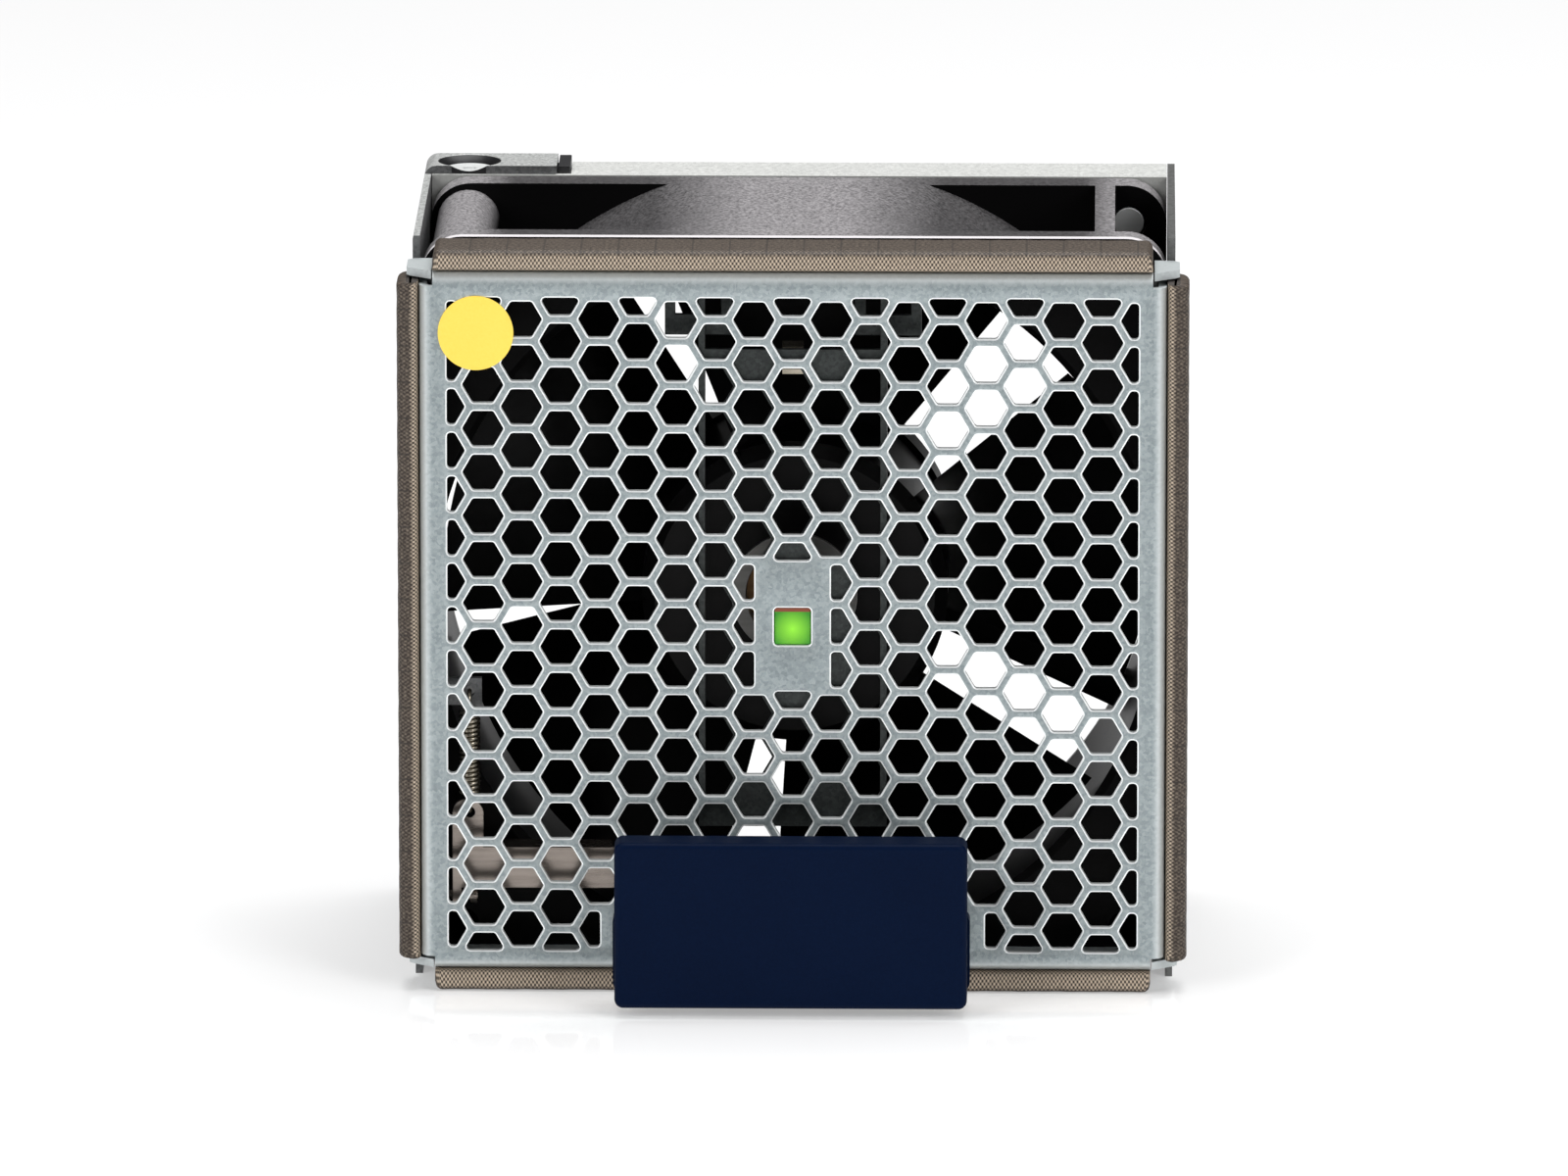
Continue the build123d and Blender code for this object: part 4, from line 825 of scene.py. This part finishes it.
    @staticmethod
    def walls(tree: Tree, outlines: object, outward: object) -> Socket:
        """Draws each hole's outline in over its front rim, back through the sheet and out over its rear rim.

        Args:
            tree: The panel's tree.
            outlines: The rounded outlines.
            outward: The step from an outline to the rim's outer edge.

        Returns:
            The mesh socket of the walls.
        """
        graph, drop = tree.graph, tree.value("Rim Drop")
        kept = graph.add(
            "GeometryNodeStoreNamedAttribute", data_type="FLOAT_VECTOR", domain="POINT",
            Geometry=outlines, Name="away", Value=outward,
        )
        away = graph.add("GeometryNodeInputNamedAttribute", data_type="FLOAT_VECTOR", Name="away")
        loops = graph.add("GeometryNodeCurveToMesh", Curve=kept)
        inward = graph.vector("MULTIPLY", away, (-1.0, -1.0, -1.0))
        lower = graph.add("ShaderNodeCombineXYZ", Z=graph.product(drop, -1.0))
        rest = graph.math("SUBTRACT", graph.product(drop, 2.0), tree.value("Sheet"))
        steps = (
            graph.vector("ADD", inward, lower),
            graph.add("ShaderNodeCombineXYZ", Z=rest),
            graph.vector("ADD", away, lower),
        )
        geometry = graph.add("GeometryNodeSetPosition", Geometry=loops, Offset=away).outputs[0]
        chosen: object = True
        for step in steps:
            grown = graph.add(
                "GeometryNodeExtrudeMesh", mode="EDGES", Mesh=geometry, Selection=chosen, Offset=step,
                Offset_Scale=1.0,
            )
            geometry, chosen = grown.outputs["Mesh"], grown.outputs["Top"]
        return geometry

    def border(self) -> list[Point]:
        """The flat plate's outer edge, with the points that the bottom flange needs."""
        half, low, high = self.flat
        return [(-half, low), *((x, low) for x in self.slot_x), (half, low), (half, high), (-half, high)]

    def add_flange(self, work: bmesh.types.BMesh, stations: list[float], side: str, reach: float) -> None:
        """Adds a bend and flange along one side of the plate.

        Args:
            work: The mesh that takes the faces.
            stations: Places along the side, in millimetres.
            side: top, bottom, left or right.
            reach: The flange's depth behind the panel's face.
        """
        steps = self.bend_steps
        arc = [math.radians(90 * k / steps) for k in range(steps + 1)]
        outer = [(math.sin(a) * self.bend, (1 - math.cos(a)) * self.bend) for a in arc]
        inside = self.bend - self.sheet
        inner = [(math.sin(a) * inside, self.sheet + (1 - math.cos(a)) * inside) for a in arc]
        slotted = side == "bottom"
        stops = list(self.slot_y) if slotted else []
        outer += [(self.bend, stop) for stop in [*stops, reach]]
        inner += [(inside, stop) for stop in [*stops, reach]]
        half, low, high = self.flat
        edge, sign, upright = {
            "top": (high, 1, False), "bottom": (low, -1, False),
            "left": (-half, -1, True), "right": (half, 1, True),
        }[side]

        def at(station: float, out: float, depth: float) -> Vector:
            """The point at a station, out from the plate and behind its face."""
            off = edge + sign * out
            return place(off, depth, station) if upright else place(station, depth, off)

        grid = [[[work.verts.new(at(s, *p)) for p in line] for s in stations] for line in (outer, inner)]
        last = len(outer) - 1
        for layer in (0, 1):
            for i in range(len(stations) - 1):
                for j in range(last):
                    if slotted and i == 1 and j == last - 2:
                        continue
                    near, next_one = grid[layer][i], grid[layer][i + 1]
                    work.faces.new([near[j], next_one[j], next_one[j + 1], near[j + 1]])
        edges = [((i, j), (i, j + 1)) for i in (0, len(stations) - 1) for j in range(last)]
        edges += [((i, last), (i + 1, last)) for i in range(len(stations) - 1)]
        if slotted:
            edges += sides([(1, last - 2), (2, last - 2), (2, last - 1), (1, last - 1)])
        for (i, j), (k, m) in edges:
            work.faces.new([grid[0][i][j], grid[0][k][m], grid[1][k][m], grid[1][i][j]])

    def add_ear(self, work: bmesh.types.BMesh, side: int, low: float) -> None:
        """Adds one slanted ear at a corner.

        Args:
            work: The mesh that takes the faces.
            side: -1 for the left, 1 for the right.
            low: The height of its lower face.
        """
        plan = [(side * (self.half_width + out), depth) for out, depth in self.ear]
        layers = [[work.verts.new(place(x, depth, z)) for x, depth in plan] for z in (low, low + self.sheet)]
        for layer in layers:
            work.faces.new(layer)
        for (a, b), (c, d) in sides(list(zip(*layers))):
            work.faces.new([a, c, d, b])

    def build(self) -> Piece:
        """Makes the panel and lets it stand for its node.

        Returns:
            The finished piece.
        """
        edge, *holes = [
            [Vector((x * MM, y * MM, 0)) for x, y in loop] for loop in (self.border(), *self.holes())
        ]
        border = poly_curve("panel_border", [edge])
        mesh = self.plate_tree(border).run(poly_curve("panel_holes", holes))
        bpy.data.objects.remove(border)
        turn = Matrix(((1, 0, 0, 0), (0, 0, -1, FACE_Y * MM), (0, 1, 0, 0), (0, 0, 0, 1)))
        mesh.transform(turn)
        steel = mesh.materials.find(ZINC.build().name)
        for number, material in enumerate(mesh.materials):
            mesh.materials[number] = material or ZINC.build()
        work = bmesh.new()
        work.from_mesh(mesh)
        plate_faces = set(work.faces)
        half, low, high = self.flat
        for side, stations, reach in (
            ("top", [-half, half], self.flange), ("bottom", [-half, *self.slot_x, half], self.flange),
            ("left", [low, high], self.side_flange), ("right", [low, high], self.side_flange),
        ):
            self.add_flange(work, stations, side, reach)
        for side in (-1, 1):
            for ear in (self.bottom, self.top - self.sheet):
                self.add_ear(work, side, ear)
        for face in set(work.faces) - plate_faces:
            face.material_index = steel
        bmesh.ops.remove_doubles(work, verts=work.verts, dist=1.5 * MERGE)
        bmesh.ops.recalc_face_normals(work, faces=work.faces)
        work.to_mesh(mesh)
        work.free()
        smooth_by_angle(mesh, degrees=28.0)
        piece = new_object("panel_sheet", mesh)
        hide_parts("front_panel")
        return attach(piece, "tray")


@dataclass
class Gasket:
    """A strip of woven cloth round foam, crowned along its free face and cut at its ends.

    Along and out are axes, and the sign is the way out. The square is the outline's power, the crown adds
    to it on the free face, the tuck is the share that the ends go in by over round_end in millimetres.
    The cuts near an end are shares of the length, and a ripple is a height, a rate and a shift.
    """

    node: str
    along: int
    out: int
    sign: int
    crown: float
    round_end: float
    fill: float = 0.75
    square: float = 0.32
    tuck: float = 0.42
    around: int = 40
    lengthwise: int = 110
    end_cuts: tuple[float, ...] = (0.0, 0.0015, 0.003, 0.006, 0.01, 0.014)
    end_share: float = 0.02
    ripples: tuple[tuple[float, float, float], ...] = ((0.02, 2100.0, 0.0), (0.015, 870.0, 1.3))
    ripple_share: float = 0.3

    def ring(self, share: float, low: Vector, high: Vector) -> list[tuple[Vector, float]]:
        """The strip's outline at one place along it.

        Args:
            share: The place along it, from 0 to 1.
            low: The node's lowest corner.
            high: The node's highest corner.

        Returns:
            Points with the distance round the outline.
        """
        size = high - low
        length, thick, depth = size[self.along], size[self.out], size[1]
        spot = share * length
        near_end, rounding = min(spot, length - spot), self.round_end * MM
        pull = 1.0
        if near_end < rounding:
            pull = 1 - self.tuck * (1 - math.sqrt(max(0.0, 1 - (1 - near_end / rounding) ** 2)))
        ripple = sum(height * math.sin(spot * rate + shift) for height, rate, shift in self.ripples)
        points = []
        for k in range(self.around):
            angle = 2 * math.pi * k / self.around
            c, s = math.cos(angle), math.sin(angle)
            across = 0.5 + 0.5 * math.copysign(abs(c) ** self.square, c)
            up = 0.5 + 0.5 * math.copysign(abs(s) ** (self.square + self.crown), s)
            if s > 0:
                up = min(1.0, up * (pull + ripple * self.ripple_share))
            point = Vector((0.0, 0.0, 0.0))
            point[self.along] = low[self.along] + spot
            point[1] = low[1] + across * depth
            point[self.out] = low[self.out] + (up if self.sign > 0 else 1 - up) * thick
            points.append(point)
        rounds = [0.0]
        for a, b in zip(points, points[1:]):
            rounds.append(rounds[-1] + (b - a).length)
        return list(zip(points, rounds))

    def build(self) -> Piece:
        """Makes the strip, with its cloth's own coordinates, in place of the plain solid.

        Returns:
            The finished piece.
        """
        low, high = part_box(self.node)
        length = (high - low)[self.along]
        parts, middle = self.lengthwise, 1 - 2 * self.end_share
        stations = [*self.end_cuts, *(self.end_share + middle * k / parts for k in range(parts + 1))]
        stations += [1 - cut for cut in reversed(self.end_cuts)]
        work = bmesh.new()
        cloth = work.loops.layers.uv.new("cloth")
        rings = [self.ring(s, low, high) for s in stations]
        verts = [[work.verts.new(point) for point, _ in ring] for ring in rings]
        count = len(verts[0])
        for i in range(len(stations) - 1):
            for k in range(count):
                m = (k + 1) % count
                face = work.faces.new([verts[i][k], verts[i + 1][k], verts[i + 1][m], verts[i][m]])
                u, v = stations[i] * length, rings[i][k][1]
                far_u, far_v = stations[i + 1] * length, rings[i][m][1]
                if m == 0:
                    far_v = v + (rings[i][0][0] - rings[i][k][0]).length
                for loop, spot in zip(face.loops, ((u, v), (far_u, v), (far_u, far_v), (u, far_v))):
                    loop[cloth].uv = spot
        for ring in (verts[0], verts[-1]):
            work.faces.new(ring).material_index = 1
        bmesh.ops.recalc_face_normals(work, faces=work.faces)
        mesh = bpy.data.meshes.new(self.node)
        work.to_mesh(mesh)
        work.free()
        for finish in (CLOTH, FOAM):
            mesh.materials.append(finish.build())
        smooth_by_angle(mesh, degrees=40.0)
        piece = new_object(self.node + "_cloth", mesh)
        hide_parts(self.node)
        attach(piece, "tray")
        return piece


@dataclass
class ReturnSpring:
    """The wound extension spring between the anchor tab and the latch arm, in millimetres."""

    x: float = -40.0
    depth: float = 4.05
    low_eye: float = 23.1
    high_eye: float = 36.2
    eye: float = 1.1
    coil: float = 1.08
    wire: float = 0.27
    turns: int = 19
    per_turn: int = 20
    wire_sides: int = 8
    hook_parts: int = 24
    hook_degrees: float = 300.0

    def hook(self, height: float, first: float) -> list[tuple[float, float, float]]:
        """One end's hook, most of a circle about its middle.

        Args:
            height: The middle's height.
            first: The angle that it starts at, in degrees.

        Returns:
            The hook's points about the spring's line.
        """
        parts = self.hook_parts
        turns = [math.radians(first + self.hook_degrees * k / parts) for k in range(parts + 1)]
        return [(0.0, self.eye * math.cos(turn), height + self.eye * math.sin(turn)) for turn in turns]

    def path(self) -> list[Vector]:
        """The wire's line from one eye through the coils to the other.

        Returns:
            The line's points.
        """
        gap = self.eye + 0.1
        start, end = self.low_eye + gap, self.high_eye - gap
        points = self.hook(self.low_eye, -150)
        count = self.turns * self.per_turn
        for k in range(count + 1):
            angle = 2 * math.pi * k / self.per_turn + math.pi / 2
            height = start + k / count * (end - start)
            points.append((self.coil * math.cos(angle), self.coil * math.sin(angle), height))
        points += self.hook(self.high_eye, -60)
        return [place(self.x + x, self.depth + y, z) for x, y, z in points]

    def build(self) -> Piece:
        """Sweeps the wire along its line, between the tray and the latch.

        Returns:
            The finished piece.
        """
        tree = Tree("wound_wire", {
            "Wire Radius": self.wire * MM,
            "Wire Sides": self.wire_sides,
            "Finish": SPRING.build(),
        })
        graph = tree.graph
        radius, count, curve = (tree.value(label) for label in ("Wire Radius", "Wire Sides", "Geometry"))
        ring = graph.add("GeometryNodeCurvePrimitiveCircle", Resolution=count, Radius=radius)
        wire = graph.add("GeometryNodeCurveToMesh", Curve=curve, Profile_Curve=ring, Fill_Caps=True)
        tree.close(wire, tree.value("Finish"))
        line = poly_curve("spring_line", [self.path()], closed=False)
        line.data.twist_mode = "MINIMUM"
        mesh = tree.run(line)
        smooth_by_angle(mesh, degrees=60.0)
        piece = new_object("spring_wound", mesh)
        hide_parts("return_spring")
        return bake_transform(piece)


@dataclass
class CadDress:
    """Gives every carried-over node its finish, worked edges and smooth curves."""

    sharp: float = 32.0
    flat: float = 0.4
    weld: float = 0.0005

    @staticmethod
    def modify(piece: Piece, name: str, kind: str, **values: object) -> None:
        """Adds a live modifier.

        Args:
            piece: The node's object.
            name: The modifier's name.
            kind: Its type.
            values: Its settings by name.
        """
        modifier = piece.modifiers.new(name, kind)
        for setting, value in values.items():
            setattr(modifier, setting, value)

    def soften(self, piece: Piece, width: float) -> None:
        """Joins the node's loose triangles, breaks its edges and smooths its curves.

        Args:
            piece: The node's object.
            width: The broken edge's width in millimetres, or zero for none.
        """
        angle, flat = math.radians(self.sharp), math.radians(self.flat)
        self.modify(piece, "joined", "WELD", merge_threshold=self.weld * MM)
        if width:
            self.modify(piece, "flats", "DECIMATE", decimate_type="DISSOLVE", angle_limit=flat)
            self.modify(
                piece, "edges", "BEVEL", width=width * MM, segments=2, limit_method="ANGLE",
                angle_limit=angle, use_clamp_overlap=True,
            )
        self.modify(piece, "creases", "EDGE_SPLIT", split_angle=angle, use_edge_sharp=False)
        for polygon in piece.data.polygons:
            polygon.use_smooth = True
        self.modify(piece, "even", "WEIGHTED_NORMAL", keep_sharp=True)

    def build(self, nodes: dict[str, Piece]) -> None:
        """Dresses the nodes that stay in view.

        Args:
            nodes: The frame's objects by node name.
        """
        for finish, width, names in NODE_FINISHES:
            for name in names.split():
                materials = nodes[name].data.materials
                materials.clear()
                materials.append(finish.build())
                self.soften(nodes[name], width)
                log.info("dressed %s with %s", name, finish.name)


@dataclass
class Studio:
    """The pale floor, the soft lights and the camera.

    The target and distance are in millimetres, the angles in degrees, and the scale is the photograph's
    pixels per millimetre, for its width of photo_width pixels.
    """

    target: tuple[float, float, float] = (-1.05, 0.0, 51.35)
    azimuth: float = 1.03
    elevation: float = 12.58
    distance: float = 2300.0
    scale: float = 8.284
    photo_width: int = 1600
    sensor: float = 36.0
    floor_half: float = 6.0
    surround_low: float = 0.12
    surround_high: float = 1.0

    def floor(self) -> None:
        """A wide pale floor with a soft sheen and a slight light of its own."""
        mesh = bpy.data.meshes.new("floor")
        reach = self.floor_half
        corners = [(-reach, -reach, 0), (reach, -reach, 0), (reach, reach, 0), (-reach, reach, 0)]
        mesh.from_pydata(corners, [], [(0, 1, 2, 3)])
        material = bpy.data.materials.new("pale_floor")
        material.use_nodes = True
        shader = material.node_tree.nodes["Principled BSDF"]
        for name, value in {
            "Base Color": (0.8, 0.8, 0.803, 1), "Roughness": 0.05, "IOR": 1.9,
            "Emission Color": (1.0, 1.0, 1.0, 1), "Emission Strength": 0.35,
        }.items():
            shader.inputs[name].default_value = value
        mesh.materials.append(material)
        floor = new_object("floor", mesh)

    def lights(self) -> None:
        """A surround that is paler above and behind, a large light above and two in front."""
        world = bpy.data.worlds.new("studio")
        world.use_nodes = True
        graph = Graph(world.node_tree)
        behind = 0.7
        way = graph.axes(graph.add("ShaderNodeTexCoord").outputs["Generated"])
        rise = graph.math("ADD", way[2], graph.product(way[1], behind))
        level = graph.ramp(rise, -0.4, 0.55, self.surround_low, self.surround_high)
        graph.feed(world.node_tree.nodes["Background"].inputs[1], level)
        bpy.context.scene.world = world
        middle = Vector((0, 0, 0.05))
        for name, spot, size, power in (
            ("light_above", (0.1, 0.25, 1.5), 1.3, 32.0),
            ("light_left", (-1.2, -1.3, 0.9), 0.9, 15.0),
            ("light_right", (1.2, -1.3, 0.9), 0.9, 15.0),
        ):
            data = bpy.data.lights.new(name, "AREA")
            data.size, data.energy = size, power
            lamp = new_object(name, data)
            lamp.location = spot
            lamp.rotation_euler = (middle - Vector(spot)).to_track_quat("-Z", "Y").to_euler()

    def camera(self) -> None:
        """The camera at the photograph's angle, far off with a long lens."""
        data = bpy.data.cameras.new("camera")
        data.sensor_width = self.sensor
        data.sensor_fit = "HORIZONTAL"
        data.lens = self.sensor * self.scale * self.distance / self.photo_width
        data.clip_start, data.clip_end = 0.05, 50.0
        turn, lift = math.radians(self.azimuth), math.radians(self.elevation)
        back = Vector((math.sin(turn) * math.cos(lift), -math.cos(turn) * math.cos(lift), math.sin(lift)))
        camera = new_object("camera", data)
        camera.location = place(*self.target) + back * self.distance * MM
        camera.rotation_mode = "QUATERNION"
        camera.rotation_quaternion = (-back).to_track_quat("-Z", "Y")
        bpy.context.scene.camera = camera

    def build(self) -> None:
        """Sets up the floor, lights, camera and colours."""
        self.floor()
        self.lights()
        self.camera()
        bpy.context.scene.view_settings.view_transform = "Standard"


def main() -> None:
    """Builds the sub-assemblies in order."""
    logging.basicConfig(level=logging.INFO, format="%(name)s: %(message)s")
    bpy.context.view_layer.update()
    Studio().build()
    CadDress().build(frame["nodes"])
    log.info("built %s", PerforatedPanel().build().name)
    for gasket in (
        Gasket("gasket_top", 0, 2, 1, 0.1, 0.8), Gasket("gasket_bottom", 0, 2, -1, 0.1, 0.8),
        Gasket("gasket_left", 2, 0, -1, 0.5, 0.5), Gasket("gasket_right", 2, 0, 1, 0.5, 0.5),
    ):
        log.info("built %s", gasket.build().name)
    log.info("built %s", ReturnSpring().build().name)


if __name__ == "__main__":
    main()
